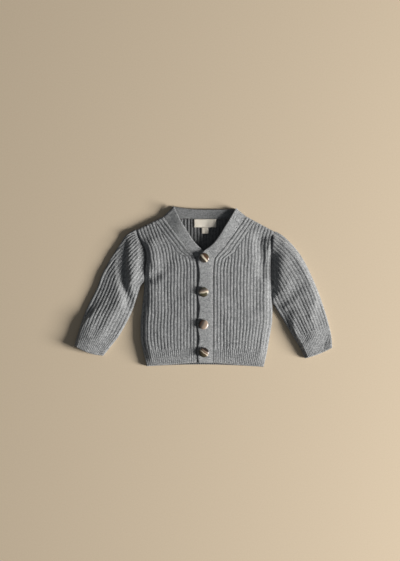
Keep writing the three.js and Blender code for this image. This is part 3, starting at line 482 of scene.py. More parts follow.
def wool(name, painted_groove_shade=0.22, painted_light_tint=1.0):
    """Heather wool: light and dark fibres mixed, with the stitches' V shapes raised in it. Its
    colour holds painted shade: the grooves between its ribs are darkened by the share given for
    them, and the gaps between the stitches' loops are darker too. The last number lightens or
    darkens the whole colour, which paints light or shade on the copies made from it."""
    finish = Finish(name, Roughness=0.95, Sheen_Weight=0.2, Sheen_Roughness=0.6)
    at = finish.place()
    fibres = finish.noise(at, 1500.0, 3.0, 0.7)
    flecks = finish.noise(at, 460.0, 2.0, 0.65)
    tufts = finish.noise(at, 230.0, 2.0, 0.6)
    mottle = finish.noise(at, 34.0, 2.0)
    knit = finish.node("ShaderNodeUVMap", {"uv_map": "knit"})
    across = finish.node("ShaderNodeSeparateXYZ", None, {0: knit}, 0)
    along = finish.node("ShaderNodeSeparateXYZ", None, {0: knit}, 1)
    uneven = (tufts - 0.5) * 0.7
    from_middle = abs((across + uneven * 0.4).part() - 0.5)
    leg = 1 - ((from_middle - 0.25) * 4) ** 2
    turn = (along + from_middle * 1.5 + uneven).part() * 2 - 1
    loop = (leg * (1 - abs(turn) ** 3)).clamped()
    rib = finish.node("ShaderNodeAttribute", {"attribute_name": "rib"}, output="Fac")
    heather = (fibres * 0.9 + flecks * 1.7 + tufts * 1.7 - 1.65).clamped()
    dark, light = ([part * painted_light_tint for part in fibre] for fibre in (DARK_FIBRE, LIGHT_FIBRE))
    colour = finish.mix(heather, dark, light)
    # Painted shade: darker in the rib grooves and between the stitches' loops, with a random mottle
    # over it.
    ribbed = rib * painted_groove_shade + (1 - painted_groove_shade)
    depth = (loop * 0.26 + 0.74) * ribbed * (mottle * 0.3 + 0.85)
    grey = finish.node("ShaderNodeCombineXYZ", None, {0: depth, 1: depth, 2: depth})
    shaded = finish.node("ShaderNodeVectorMath", {"operation": "MULTIPLY"}, {0: colour, 1: grey})
    finish.shade("Base Color", shaded)
    finish.relief(loop * 0.7 + fibres * 0.6 + flecks * 0.5, 0.0007, 1.0)
    return finish.material


rib_wool = wool("rib_wool")
# A darker copy for the back's inside: partly the darker wrong side of the knit, partly painted
# shade in the neck opening.
shaded_inside_wool = wool("shaded_inside_wool", painted_groove_shade=0.3, painted_light_tint=0.52)

# The back: one rib panel that lies on the table. Its inside shows in the neck, and its hem shows
# as a thin line under the fronts' hems. It is knitted, with its hem's fine rib knitted in one.
RIBS_SHOW = (44, 56)  # the ribs on its inside grow to their full height between these y
SHOWN_GROOVE = 2.9  # height of the grooves between them
HIDDEN_INSIDE = 1.5  # height of its inside where the fronts hide it
COLUMNS_PER_RIB = 6
RIBS_EACH_SIDE = 21
BAND_CLEARANCE = 0.9  # from the ends of the neck band at both shoulders
HEM_ROW_LENGTH = 15  # from the hem's edge to the next row of the outline
HEM_DROP = 1.2  # how far the hem rounds down

back_places = section_places(LEFT_OUTLINE)
left_line = line_of(outline(LEFT_OUTLINE, back_places), "side")
right_line = line_of(outline(RIGHT_OUTLINE, back_places), "side")


def shoulder_line(table):
    return np.array([table[-1, 0:2], table[-1, 2:4]]), np.ones(2)


def back_points(columns):
    """Where the back's sections cross its columns of stitches."""
    neck_edge = np.vstack([
        RIGHT_OUTLINE[-1, 0:2], RIGHT_OUTLINE[-1, 2:4] - (0, BAND_CLEARANCE), NECK_EDGE,
        LEFT_OUTLINE[-1, 2:4] - (0, BAND_CLEARANCE), LEFT_OUTLINE[-1, 0:2],
    ])
    low_x, high_x = right_line[:, :1] + GAP, left_line[:, :1] - GAP
    x = np.clip(columns[None, :], low_x, high_x)
    share = (x - low_x) / (high_x - low_x)
    y = right_line[:, 1:] * (1 - share) + left_line[:, 1:] * share
    shoulders = neck_edge[[0, -1]]
    arch = np.interp(x, *neck_edge.T) - np.interp(x, *shoulders.T)
    y += curve_through(NECK_RISE[:, None], back_places) * arch
    y += HEM_ARCH * np.clip(1 - back_places[:, None], 0, 1) * np.sin(np.pi * share)
    return np.stack([x, y], axis=-1)


def back_heights(plan, ribs, fine):
    """The heights of the back's inside, which faces up, and of its outside on the table."""
    folded = (back_places <= ARMPIT_ROW + 0.5).astype(float)
    lines = [
        (left_line, folded), (right_line, folded),
        shoulder_line(LEFT_OUTLINE), shoulder_line(RIGHT_OUTLINE),
    ]
    seen = np.maximum(smooth_step(plan[..., 1], *RIBS_SHOW), fine)
    fold_top = SEAM_HEIGHT - GAP / 2
    top = fold_top + (HIDDEN_INSIDE - fold_top) * fullness(plan, lines, [REACH] * 4)
    top = np.maximum(top, SHOWN_GROOVE * (seen > 0.5))
    top = top + ribs * seen * (REST - GAP - top)
    top = np.where(seen > 0, top, np.maximum(top, BACK_THICKNESS))
    rolls = [SIDE_ROLL] * 2 + [SHOULDER_ROLL] * 2
    bottom = rolled(np.zeros(top.shape), fold_top - EDGE, plan, lines, rolls)
    hem_round = rounded_end(back_places[:, None] * HEM_ROW_LENGTH)
    return np.maximum(bottom + THINNEST, top - HEM_DROP * (1 - hem_round)), bottom


rib_pitch = WIDE_RIB * STITCH
back_x = np.arange(-RIBS_EACH_SIDE * rib_pitch, (RIBS_EACH_SIDE + 1) * rib_pitch,
                   rib_pitch / COLUMNS_PER_RIB)
back_plan = back_points(back_x)
back_stitch = np.broadcast_to(back_x / STITCH, back_plan.shape[:2])
back_fine = fine_share(back_places)
back_ribs = rib_height(back_stitch, back_fine)
back_top, back_bottom = back_heights(back_plan, back_ribs, back_fine)

back = knitted("back", points_of(back_plan, back_top), points_of(back_plan, back_bottom),
               stitch_places(back_stitch, left_line), back_ribs)
back.data.materials.append(shaded_inside_wool)
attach(back, "root")
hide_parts("back_panel")


# The fronts: two rib panels on the back. Three ribs keep along the band and up the slope of the
# neck, and the others run into them. Each is sewn to the back at its side and shoulder.
SLOPE_STITCHES = 3 * WIDE_RIB
RIB_SWAY = 0.55  # how far the ribs stray from an even run
FRONT_SWAY_REACH = 18  # less of it within this distance of both edges
SEAM_FLAT_FROM, SEAM_FLAT_TO = 1.8, 0.4  # the ribs flatten this near to the band's seam
LEFT_FRONT_RIBS, LEFT_NECK_ROW = 15, 10
RIGHT_FRONT_RIBS, RIGHT_NECK_ROW = 14, 9
# A fold is from x, y, to x, y, width and depth. A ridge has a depth below 0.
LEFT_FRONT_FOLDS = [
    (102, 82, 107, 24, 11, 5.4),
    (97, 12, 92, -30, 12, 0.9),
    (40, 18, 60, -50, 16, 0.7),
    (112, -70, 96, -104, 12, 0.9),
    (28, -60, 34, -108, 10, 0.6),
    (84, 84, 78, 60, 8, 0.7),
]
RIGHT_FRONT_FOLDS = [
    (-98, 11, -107, 6, 8, 4.0),
    (-84, 18, -98, 11, 9, 2.8),
    (-60, 42, -84, 18, 11, 1.2),
    (-92, 76, -86, 34, 10, -1.8),
    (-100, -10, -101, -30, 7, 1.0),
    (-70, 8, -64, -40, 13, 0.8),
    (-34, 30, -44, -24, 12, 0.5),
    (-98, -84, -80, -112, 12, 0.9),
    (-30, -70, -26, -112, 10, 0.5),
]


def swayed(plan, at, length, across, places, reach, mirror=1):
    """The points moved along their sections, so that the ribs don't run quite evenly."""
    free = smooth_step(np.minimum(at, length - at), 0, reach)
    free = free * smooth_step(places, HEM_ROW, HEM_ROW + 2)[:, None]
    drift = RIB_SWAY * free * sway(plan * (1, mirror))
    return plan + drift[..., None] * across[:, None]


def ended(height, plan, edge):
    """The height, rounded down to an edge along the first section."""
    distance, _ = nearest_on(plan[0, ::WIDE_RIB * SAMPLES], plan)
    return REST + edge + (height - REST - edge) * rounded_end(distance)


def front_columns(table, places, side, seam, ribs_across, neck_row):
    """Where the columns of stitches of a front run: how far from its side edge, their count, and
    how whole their ribs are, down to 0 where they run into the side or the ribs of the slope."""
    length = np.linalg.norm(seam - side, axis=-1)
    slope = np.gradient(seam, axis=0)
    slope /= np.linalg.norm(slope, axis=-1)[:, None]
    across = (seam - side) / length[:, None]
    slant = np.abs(across[:, 0] * slope[:, 1] - across[:, 1] * slope[:, 0])

    field_stitches = ribs_across * WIDE_RIB
    slope_width = SLOPE_STITCHES * STITCH
    field_widths = np.abs(table[:, 2] - table[:, 0]) - slope_width
    spacing = field_widths[WIDEST_ROW] / field_stitches
    neck_shift = field_stitches - field_widths[neck_row] / spacing
    field = length - slope_width
    field_end = (length - slope_width / slant)[:, None]
    even = places <= WIDEST_ROW
    pitch = np.where(even, field / field_stitches, spacing)
    shift = np.where(even, 0, np.minimum(field_stitches - field / pitch, neck_shift))
    pitch, shift = pitch[:, None], shift[:, None]

    count = np.arange(0, field_stitches * SAMPLES + 1) / SAMPLES
    field_at = np.clip((count - shift) * pitch, 0, field_end)
    whole = np.clip(np.minimum(field_at, field_end - field_at) / pitch, 0, 1)
    slope_count = np.arange(1, SLOPE_STITCHES * SAMPLES + 1) / SAMPLES
    slope_at = field_end + (length[:, None] - field_end) * slope_count / SLOPE_STITCHES
    at = np.hstack([field_at, slope_at])
    stitch = np.broadcast_to(np.r_[count, slope_count + field_stitches], at.shape)
    return at, stitch, np.hstack([whole, np.ones(slope_at.shape)])


def front_heights(table, edges, plan, ribs, fine, folds):
    """The heights of a front's outer and inner face."""
    lines = [(line_of(edges, "side"), edges["roll"]), shoulder_line(table)]
    at_armhole = smooth_step(plan[..., 1], ARMHOLE_FROM, ARMHOLE_TO)
    reach = REACH + (ARMHOLE_REACH - REACH) * at_armhole
    air = air_under(plan, lines, (reach, SHOULDER_REACH)) - folds_at(plan, folds)
    inside = np.maximum(REST + air, BACK_THICKNESS + THINNEST)
    inside = inside + neck_lift(table, plan) + swell(plan)
    side_roll = SIDE_ROLL + (ARMHOLE_ROLL - SIDE_ROLL) * at_armhole
    height = rib_surface(inside, plan, ribs, fine)
    height = rolled(height, REST + EDGE, plan, lines, (side_roll, SHOULDER_ROLL))
    height = ended(height, plan, END_EDGE)
    return height, np.minimum(inside, height - THINNEST)


def front(name, node, table, ribs_across, neck_row, folds):
    """A front panel, from its side edge to the seam with its band."""
    places = section_places(table)
    edges = outline(table, places)
    inward = np.sign(table[0, 2] - table[0, 0])
    side = line_of(edges, "side") + (inward * GAP / 2, 0)
    seam = line_of(edges, "seam") - (inward * GAP / 2, 0)
    length = np.linalg.norm(seam - side, axis=-1)[:, None]
    at, stitch, whole = front_columns(table, places, side, seam, ribs_across, neck_row)
    fine = fine_share(places)
    ribs = rib_height(stitch, fine) * whole
    ribs = ribs * (1 - smooth_step(at, length - SEAM_FLAT_FROM, length - SEAM_FLAT_TO))

    share = (at / length)[..., None]
    plan = side[:, None] * (1 - share) + seam[:, None] * share
    plan = swayed(plan, at, length, (seam - side) / length, places, FRONT_SWAY_REACH)
    height, inside = front_heights(table, edges, plan, ribs, fine, folds)
    obj = knitted(name, points_of(plan, height), points_of(plan, inside),
                  stitch_places(stitch, (side + seam) / 2), ribs)
    obj.data.materials.append(rib_wool)
    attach(obj, "root")
    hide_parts(node)
    return obj


wearers_left_front = front("left_front_knit", "left_front", LEFT_OUTLINE, LEFT_FRONT_RIBS,
                           LEFT_NECK_ROW, LEFT_FRONT_FOLDS)
wearers_right_front = front("right_front_knit", "right_front", RIGHT_OUTLINE, RIGHT_FRONT_RIBS,
                            RIGHT_NECK_ROW, RIGHT_FRONT_FOLDS)


# The sleeves: rib tubes lying flat, sewn into the armholes, each with a cuff in fine rib. The
# cloth slumps into a few soft troughs, and the ribs run in to the cuff.
SLEEVE_ROLL = 3.8  # how far from its outer fold a sleeve begins to round over
INNER_ROLL = 4.2  # and from its inner one
SLEEVE_FULLNESS = 6.2  # air inside a sleeve away from its edges
SLEEVE_WALL = 2.4  # the lower layer, and the cloth at both folds
SLEEVE_SWAY_REACH = 15
UNDER_COLUMNS = 34
# Inner and outer are the two folded edges, bow is how far a section swells toward the cuff, and
# slip is how far the ribs lie past the outer fold, which they run round.
SLEEVE_COLUMNS = ("inner_x", "inner_y", "outer_x", "outer_y", "bow", "slip")
LEFT_SLEEVE = np.array([
    (183, -130.5, 232.5, -111, 2, 0),
    (173.5, -110, 230.8, -91, 2, 0),
    (163, -93, 226.5, -71, 1, 0),
    (152, -75.4, 221, -51, 0, 0),
    (143, -60, 214.5, -31, 0, 0),
    (135, -47.5, 209, -15, 0, 0),
    (128.5, -36.5, 203, 0, 0, 0),
    (0, 0, 195.5, 17, 0, 0),
    (0, 0, 187, 35, 0, 1),
    (0, 0, 177, 53, 0, 2),
    (0, 0, 164, 70.5, 0, 3.5),
    (0, 0, 153, 82, 0, 5),
    (0, 0, 143, 91, 0, 6),
    (0, 0, 131, 98, 0, 7),
])
RIGHT_SLEEVE = np.array([
    (-180, -125.5, -232.5, -107.5, 4, 0),
    (-165, -107, -226.5, -87, 2, 0),
    (-152, -90, -220, -67, 1, 0),
    (-140, -69.5, -212, -45, 0, 0),
    (-128.5, -46, -201.5, -23, 0, 0),
    (-119.5, -20, -191, -2, 0, 0),
    (-113, -1, -182.5, 21, 0, 0),
    (0, 0, -173, 39, 0, 1.5),
    (0, 0, -163.5, 55, 0, 4),
    (0, 0, -155.5, 67.5, 0, 7.5),
    (0, 0, -149, 77, 0, 11),
    (0, 0, -142.5, 88, 0, 14),
    (0, 0, -133, 96.4, 0, 17),
    (0, 0, -123, 101.6, 0, 19),
])  # above the armpit the inner end is on the armhole of the front beside it
LEFT_SLEEVE_RIBS, RIGHT_SLEEVE_RIBS = 14, 13
LEFT_SLEEVE_FOLDS = [
    (120, 54, 121, -6, 9, 5.0),
    (138, 44, 136, 6, 11, -2.4),
    (127, 100, 141, 92, 11, 5.5),
    (129, -18, 154, 14, 8, -1.0),
    (140, -36, 166, -6, 12, 2.4),
    (134, -40, 172, -106, 13, 3.0),
    (156, -46, 180, -94, 15, 2.8),
    (196, -58, 204, -88, 10, -1.2),
    (190, -128, 232, -112, 30, 3.8),
    (172, -24, 192, -76, 8, 1.4),
    (160, 44, 182, 10, 8, 0.9),
    (196, -50, 212, -96, 8, 0.9),
    (150, 66, 166, 40, 8, 0.7),
]
RIGHT_SLEEVE_FOLDS = [
    (-146, 80, -147, 38, 9, 4.4),
    (-147, 38, -142, 4, 9, 6.4),
    (-142, 4, -135, -30, 8, 6.8),
    (-132, 70, -128, 0, 9, -2.0),
    (-166, 62, -204, -26, 26, 1.8),
    (-205, -62, -176, -40, 9, 1.8),
    (-158, 46, -172, 10, 9, 1.2),
    (-168, -30, -196, -84, 9, 1.3),
    (-150, -52, -172, -92, 8, 0.9),
    (-186, 4, -196, -24, 8, 0.8),
    (-226, -87, -202, -24, 14, 2.6),
    (-202, -24, -166, 54, 14, 2.6),
]


class Tube:
    """A sleeve's sections, each a line from its outer fold to its inner fold or to the armhole."""

    def __init__(self, table, front_table):
        outward = np.sign(table[0, 2])
        self.table = table.copy()
        self.table[ARMPIT_ROW:, 0:2] = front_table[ARMPIT_ROW:, 0:2] + (outward * GAP / 2, 0)
        self.places = section_places(self.table)
        rows = dict(zip(SLEEVE_COLUMNS, curve_through(self.table, self.places).T))
        self.bow, self.slip = rows["bow"][:, None], rows["slip"][:, None]
        armhole = outline(front_table, self.places)
        on_armhole = self.places >= ARMPIT_ROW
        armhole_edge = line_of(armhole, "side") + (outward * GAP / 2, 0)
        self.inner = np.where(on_armhole[:, None], armhole_edge, line_of(rows, "inner"))
        self.outer = line_of(rows, "outer")
        self.outer_edge = self.outer, np.ones(len(self.outer))
        self.inner_edge = self.inner, np.where(on_armhole, armhole["roll"], 1.0)
        self.closed = self.places <= ARMPIT_ROW
        self.length = np.linalg.norm(self.inner - self.outer, axis=-1)[:, None]
        self.across = (self.inner - self.outer) / self.length
        self.to_cuff = np.stack([-self.across[:, 1], self.across[:, 0]], axis=-1) * outward

    def plan_at(self, at):
        """The points at a distance from the outer fold in each section."""
        share = at / self.length
        bowed = self.bow * 4 * share * (1 - share)
        offset = self.across[:, None] * at[..., None] + self.to_cuff[:, None] * bowed[..., None]
        return self.outer[:, None] + offset

    def top_columns(self, ribs_across):
        """Where the top's columns of stitches run: how far from the outer fold, their count, and
        how whole their ribs are, down to 0 where they run into an edge."""
        stitches = ribs_across * WIDE_RIB
        armpit = self.table[ARMPIT_ROW]
        spacing = np.linalg.norm(armpit[0:2] - armpit[2:4]) / stitches
        first = -math.ceil(self.table[-1, 5] / spacing)
        count = np.arange(first * SAMPLES, stitches * SAMPLES + 1) / SAMPLES
        below = self.places[:, None] < ARMPIT_ROW
        pitch = np.where(below, self.length / stitches, spacing)
        at = np.clip(count * pitch + self.slip, 0, self.length)
        at[:, -1:] = self.length
        return at, count, np.clip(np.minimum(self.length - at, 3 * at) / pitch, 0, 1)

    def top_heights(self, at, plan, ribs, fine, folds, reaches):
        """The heights of the top's outer and inner face."""
        at_cuff = 1 - smooth_step(self.places, HEM_ROW, HEM_ROW + 3)[:, None]
        edge_reaches = [above + (cuff - above) * at_cuff for above, cuff in reaches]
        edges = [self.outer_edge, self.inner_edge]
        air = SLEEVE_FULLNESS * fullness(plan, edges, edge_reaches) - folds_at(plan, folds)
        inside = np.maximum(REST + air, SLEEVE_WALL + THINNEST)
        low = np.full(at.shape, SEAM_HEIGHT)
        low[~self.closed, -1] = REST + EDGE
        at_armhole = smooth_step(self.places, ARMPIT_ROW - 1, ARMPIT_ROW + 1)[:, None]
        rolls = SLEEVE_ROLL, INNER_ROLL + (ARMHOLE_ROLL - INNER_ROLL) * at_armhole
        top = rolled(rib_surface(inside, plan, ribs, fine), low, plan, edges, rolls)
        top = ended(top, plan, EDGE)
        on_fold = at <= 0
        on_fold[self.closed, -1] = True
        top[on_fold] = SEAM_HEIGHT
        inside = np.minimum(inside, top - THINNEST)
        inside[on_fold] = SEAM_HEIGHT - THINNEST
        return top, inside

    def under_heights(self, at, plan):
        """The heights of the underside's outer and inner face, from the inner edge back."""
        folds = [self.outer_edge, (self.inner[self.closed], np.ones(self.closed.sum()))]
        under = rolled(np.zeros(at.shape), SEAM_HEIGHT, plan, folds, (SLEEVE_ROLL, INNER_ROLL))
        on_fold = np.zeros(at.shape, bool)
        on_fold[:, -1] = True
        on_fold[self.closed, 0] = True
        under[on_fold] = SEAM_HEIGHT
        floor = np.maximum(SLEEVE_WALL, under + THINNEST)
        floor[on_fold] = SEAM_HEIGHT - THINNEST
        return under, floor

    def inside_plan(self, at):
        """The points of the inner face, drawn in from the folds by the wall's thickness."""
        inset = np.minimum(SLEEVE_WALL, self.length / 3)
        inner_inset = np.where(self.closed, SLEEVE_WALL, 0)[:, None]
        return self.plan_at(np.clip(at, inset, self.length - inner_inset))


def sleeve(name, node, table, front_table, ribs_across, folds, reaches):
    """A sleeve's tube in one grid: round the top from the outer fold, and back along the underside.
    The reaches are how far the cloth rises from the outer and inner edge, above and at the cuff."""
    tube = Tube(table, front_table)
    top_at, count, whole = tube.top_columns(ribs_across)
    fine = fine_share(tube.places)
    ribs = rib_height(np.broadcast_to(count, top_at.shape), fine) * whole
    top_plan = swayed(tube.plan_at(top_at), top_at, tube.length, tube.across, tube.places,
                      SLEEVE_SWAY_REACH, mirror=-1)
    top, ceiling = tube.top_heights(top_at, top_plan, ribs, fine, folds, reaches)

    under_share = 0.5 - 0.5 * np.cos(np.linspace(0, np.pi, UNDER_COLUMNS))
    under_at = tube.length * (1 - under_share)
    under_plan = tube.plan_at(under_at)
    under, floor = tube.under_heights(under_at, under_plan)

    outside = np.hstack([points_of(top_plan, top), points_of(under_plan, under)])
    inside = np.hstack([
        points_of(tube.inside_plan(top_at), ceiling), points_of(tube.inside_plan(under_at), floor),
    ])
    under_stitch = count[-1] + (tube.length - under_at) / STITCH
    stitch = np.hstack([np.broadcast_to(count, top_at.shape), under_stitch])
    knit = stitch_places(stitch, (tube.inner + tube.outer) / 2)
    rib = np.hstack([ribs, np.ones(under_at.shape)])
    first_open = int(np.argmax(~tube.closed))
    obj = knitted(name, outside, inside, knit, rib, open_strip=(len(count) - 1, first_open - 1))
    obj.data.materials.append(rib_wool)
    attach(obj, "root")
    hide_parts(node)
    return obj


left_tube = sleeve("left_sleeve_knit", "left_sleeve", LEFT_SLEEVE, LEFT_OUTLINE,
                   LEFT_SLEEVE_RIBS, LEFT_SLEEVE_FOLDS, reaches=((11, 44), (29, 6)))
right_tube = sleeve("right_sleeve_knit", "right_sleeve", RIGHT_SLEEVE, RIGHT_OUTLINE,
                    RIGHT_SLEEVE_RIBS, RIGHT_SLEEVE_FOLDS, reaches=((62, 6), (24, 36)))


# The band: one strip of fine flat knit, folded double and sewn round the fronts and the back of
# the neck. The wearer's left length laps over the right one and swells a little at each button.
BAND_THICKNESS = 3.2
LAPPED_THICKNESS = 2.6  # of the left length where it laps over the right one
PRESSED_THICKNESS = 1.6  # and of the right one below it
BAND_ROLL = 4.0
BAND_EDGE = 1.3  # how far the free edge rounds down
SEWN_EDGE = 0.1
BAND_ROUNDING = 1.8
BAND_END_STEPS = [0, 0.15, 0.4, 0.75, 1.2, BAND_ROUNDING]
BAND_COLUMNS = 14
BAND_STITCH = 1.15
BAND_KNIT_ROW = 1.0
BAND_THICKENS = (48, 70)  # from its thickness in the lap to its full one, between these y
LAP_FROM, LAP_TO = 1.0, 9.0  # the upper length sinks this far past the edge of the one below
LAP_SINK = 0.3  # by this share of its lift in the lap, and by all of it on the neck slope
SINK_GROWS = (50, 75)
SCALLOP, SCALLOP_REACH = 1.8, 30.0
SCALLOP_EASE = 2  # above and below the first button
BUTTON_PLACES = np.array([(1.6, 50.4), (0.4, -10.8), (0.0, -68.6), (1.1, -118.8)])
NECK_BAND_COLUMNS = ("lower_x", "lower_y", "upper_x", "upper_y")
NECK_BAND = np.array([
    (-70.8, 125.2, -53.6, 142.8),
    (-57, 122.6, -46, 142),
    (-32, 121.6, -27, 139.4),
    (1, 121.2, 1, 138),
    (34, 121.2, 30, 138),
    (61, 122.2, 51, 139),
    (76, 125, 58.9, 139.2),
])
NECK_BAND_SECTIONS = 91
# A lighter copy of the wool for the front bands: painted light.
lit_band_wool = wool("lit_band_wool", painted_groove_shade=0.0, painted_light_tint=1.12)
# A darker copy for the back of the neck band: painted shade.
shaded_neck_wool = wool("shaded_neck_wool", painted_groove_shade=0.0, painted_light_tint=0.74)


def band(name, node, start, end, bottom_of, top_of, finish=lit_band_wool):
    """A length of the band, between the lines of its two edges, with both edges rounded."""
    width = np.linalg.norm(end - start, axis=-1)[:, None]
    across = (end - start) / width
    ends = np.array(BAND_END_STEPS)
    share = np.linspace(0, 1, BAND_COLUMNS)[None, 1:-1]
    middle = share * (width - 2 * BAND_ROUNDING) + BAND_ROUNDING
    at = np.hstack([np.broadcast_to(ends, (len(width), len(ends))), middle, width - ends[::-1]])
    plan = start[:, None] + across[:, None] * at[..., None]
    bottom, top = bottom_of(plan), top_of(plan)
    for from_edge, drop in ((at, SEWN_EDGE), (width - at, BAND_EDGE)):
        top = top - drop * (1 - rounded_end(from_edge, BAND_ROUNDING))
    top = np.maximum(top, bottom + EDGE)
    knit = stitch_places(at / BAND_STITCH, (start + end) / 2, BAND_KNIT_ROW)
    obj = knitted(name, points_of(plan, top), points_of(plan, bottom), knit, np.ones(at.shape))
    obj.data.materials.append(finish)
    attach(obj, "root")
    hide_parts(node)
    return obj


def band_lines(table):
    """Sections of a front band: where it is sewn on and its free edge."""
    places = section_places(table)
    edges = outline(table, places)
    inward = np.sign(table[0, 2] - table[0, 0])
    return line_of(edges, "seam") + (inward * GAP / 2, 0), line_of(edges, "edge")


def shoulder_fold(table):
    return np.array([table[-1, 2:4], table[-1, 4:6]]), np.ones(2)


right_start, right_end = band_lines(RIGHT_OUTLINE)
right_fold = [shoulder_fold(RIGHT_OUTLINE)]


def seam_level(table, plan):
    """How high the inside of a front is beside the band."""
    sides = table[:, 0:2], table[:, 6]
    return air_under(plan, [sides, shoulder_line(table)])


def thickness(plan, lapped):
    """How thick a length of the band is, from the lap up to the slope of the neck."""
    return lapped + (BAND_THICKNESS - lapped) * smooth_step(plan[..., 1], *BAND_THICKENS)


def right_bottom(plan):
    return REST + seam_level(RIGHT_OUTLINE, plan) + neck_lift(RIGHT_OUTLINE, plan) + swell(plan)


def right_top(plan):
    full = right_bottom(plan) + thickness(plan, PRESSED_THICKNESS)
    return rolled(full, REST + EDGE, plan, right_fold, [BAND_ROLL])


right_band = band(
    "right_band_knit", "right_front_band", right_start, right_end, right_bottom, right_top)

left_start, left_end = band_lines(LEFT_OUTLINE)
past_first = BUTTON_PLACES[0, 1] - left_end[:, 1]
to_button = np.abs(left_end[:, 1:] - BUTTON_PLACES[None, :, 1]).min(axis=1)
scallop = SCALLOP * np.cos(np.minimum(1, to_button / SCALLOP_REACH) * np.pi)
left_end[:, 0] -= smooth_step(past_first, -SCALLOP_EASE, SCALLOP_EASE) * scallop
left_fold = [shoulder_fold(LEFT_OUTLINE)]


def lap_height(plan):
    """How far the lapped band is lifted by the one below it."""
    edge_x = np.interp(plan[..., 1], right_end[:, 1], right_end[:, 0])
    past = np.where(plan[..., 0] > edge_x, nearest_on(right_end, plan)[0], 0)
    sink = LAP_SINK + (1 - LAP_SINK) * smooth_step(plan[..., 1], *SINK_GROWS)
    on_band = 1 - sink * smooth_step(past, LAP_FROM, LAP_TO)
    return seam_level(LEFT_OUTLINE, plan) + (thickness(plan, PRESSED_THICKNESS) + GAP) * on_band


def left_bottom(plan):
    return REST + lap_height(plan) + neck_lift(LEFT_OUTLINE, plan) + swell(plan)


def left_top(plan):
    full = left_bottom(plan) + thickness(plan, LAPPED_THICKNESS)
    return rolled(full, REST + EDGE, plan, left_fold, [BAND_ROLL])


left_band = band("left_band_knit", "left_front_band", left_start, left_end, left_bottom, left_top)

neck_places = np.linspace(0, len(NECK_BAND) - 1, NECK_BAND_SECTIONS)
neck_rows = dict(zip(NECK_BAND_COLUMNS, curve_through(NECK_BAND, neck_places).T))
neck_top = SEAM_HEIGHT - GAP / 2


def neck_bottom(plan):
    return rolled(0.0, neck_top - END_EDGE, plan, right_fold + left_fold, [BAND_ROLL] * 2)


neck_band = band(
    "neck_band_knit", "back_neck_band", line_of(neck_rows, "lower"), line_of(neck_rows, "upper"),
    neck_bottom, lambda plan: np.full(plan.shape[:-1], neck_top), shaded_neck_wool)


# The labels: a woven cream tape sewn down at both ends inside the back of the neck, and a small
# folded tab of the same tape caught below it. Both are left bare.
LABEL = {"width": 40.0, "height": 15.0, "middle_x": 3.2, "top_y": 120.6, "wave": 0.35}
SIZE_TAB = {"width": 12.0, "height": 11.0, "middle_x": 3.2, "top_y": 105.3, "wave": 0.15}
TAPE_THICKNESS = 0.9
TAPE_EDGE = 0.45  # the share of its thickness that is left at its edges
TAPE_ROUNDING = 0.8
TAPE_WAVES = 1.5  # along its width
TAPE_COLUMNS, TAPE_ROWS = 41, 17
THREADS = 9000  # of the weave, in radians for each metre

label_finish = Finish("woven_tape", Roughness=0.75, Sheen_Weight=0.2)
tape_at = label_finish.place()
tape_x = label_finish.node("ShaderNodeSeparateXYZ", None, {0: tape_at}, 0)
tape_y = label_finish.node("ShaderNodeSeparateXYZ", None, {0: tape_at}, 1)
weave = (tape_x * THREADS).sine() * (tape_y * THREADS).sine() * 0.5 + 0.5
slubs = label_finish.noise(tape_at, 260.0, 3.0)
cream = label_finish.mix(slubs, (0.78, 0.70, 0.575), (0.93, 0.88, 0.78))
label_finish.shade("Base Color", label_finish.mix(weave * 0.25, cream, (0.45, 0.38, 0.29)))
label_finish.relief(weave, 0.0003, 0.6)


def tape(name, node, width, height, middle_x, top_y, wave):
    """A piece of woven tape that lies on the inside of the back."""
    x, y = np.meshgrid(np.linspace(-width / 2, width / 2, TAPE_COLUMNS),
                       np.linspace(-height, 0, TAPE_ROWS))
    flat = np.stack([x, y], axis=-1)
    plan = flat + (middle_x, top_y)
    hump = 1 - np.cos(2 * np.pi * x / width * TAPE_WAVES)
    bottom = REST + wave * hump * np.clip(-y / height, 0, 1)
    from_edge = np.minimum(width / 2 - np.abs(x), np.minimum(-y, y + height))
    full = TAPE_EDGE + (1 - TAPE_EDGE) * rounded_end(from_edge, TAPE_ROUNDING)
    top = bottom + TAPE_THICKNESS * full
    obj = knitted(name, points_of(plan, top), points_of(plan, bottom), flat, np.ones(x.shape))
    obj.data.materials.append(label_finish.material)
    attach(obj, "root")
    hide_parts(node)
    return obj


label = tape("label_tape", "neck_label", **LABEL)
size_tab = tape("size_tab_tape", "size_tab", **SIZE_TAB)


# The buttons: four polished domes that look like horn, dark with pale streaks, each from another
# part of the blank. They stand on the lapped band, on thread shanks that the dome hides.
BUTTON_RADIUS = 8.8
BUTTON_PROFILE = [  # radius, height
    (0, 0), (6.3, 0), (8.0, 0.35), (8.55, 0.9), (8.78, 1.6), (8.8, 2.1), (8.66, 2.5), (8.3, 2.95),
    (7.6, 3.4), (6.5, 3.85), (5.0, 4.22), (3.2, 4.48), (1.5, 4.58), (0, 4.6),
]
BUTTON_STEPS = 56
RIM_PLACES = 24  # round its rim, where it is kept clear of the band
DARK = (0.022, 0.014, 0.010)
BROWN = (0.085, 0.042, 0.024)
OLIVE = (0.058, 0.050, 0.026)
TAUPE = (0.27, 0.20, 0.15)
GREY = (0.085, 0.075, 0.065)
PALE = (0.64, 0.57, 0.44)
# A pink used only as a painted highlight on the third button.
PAINTED_HIGHLIGHT_PINK = (0.60, 0.52, 0.46)
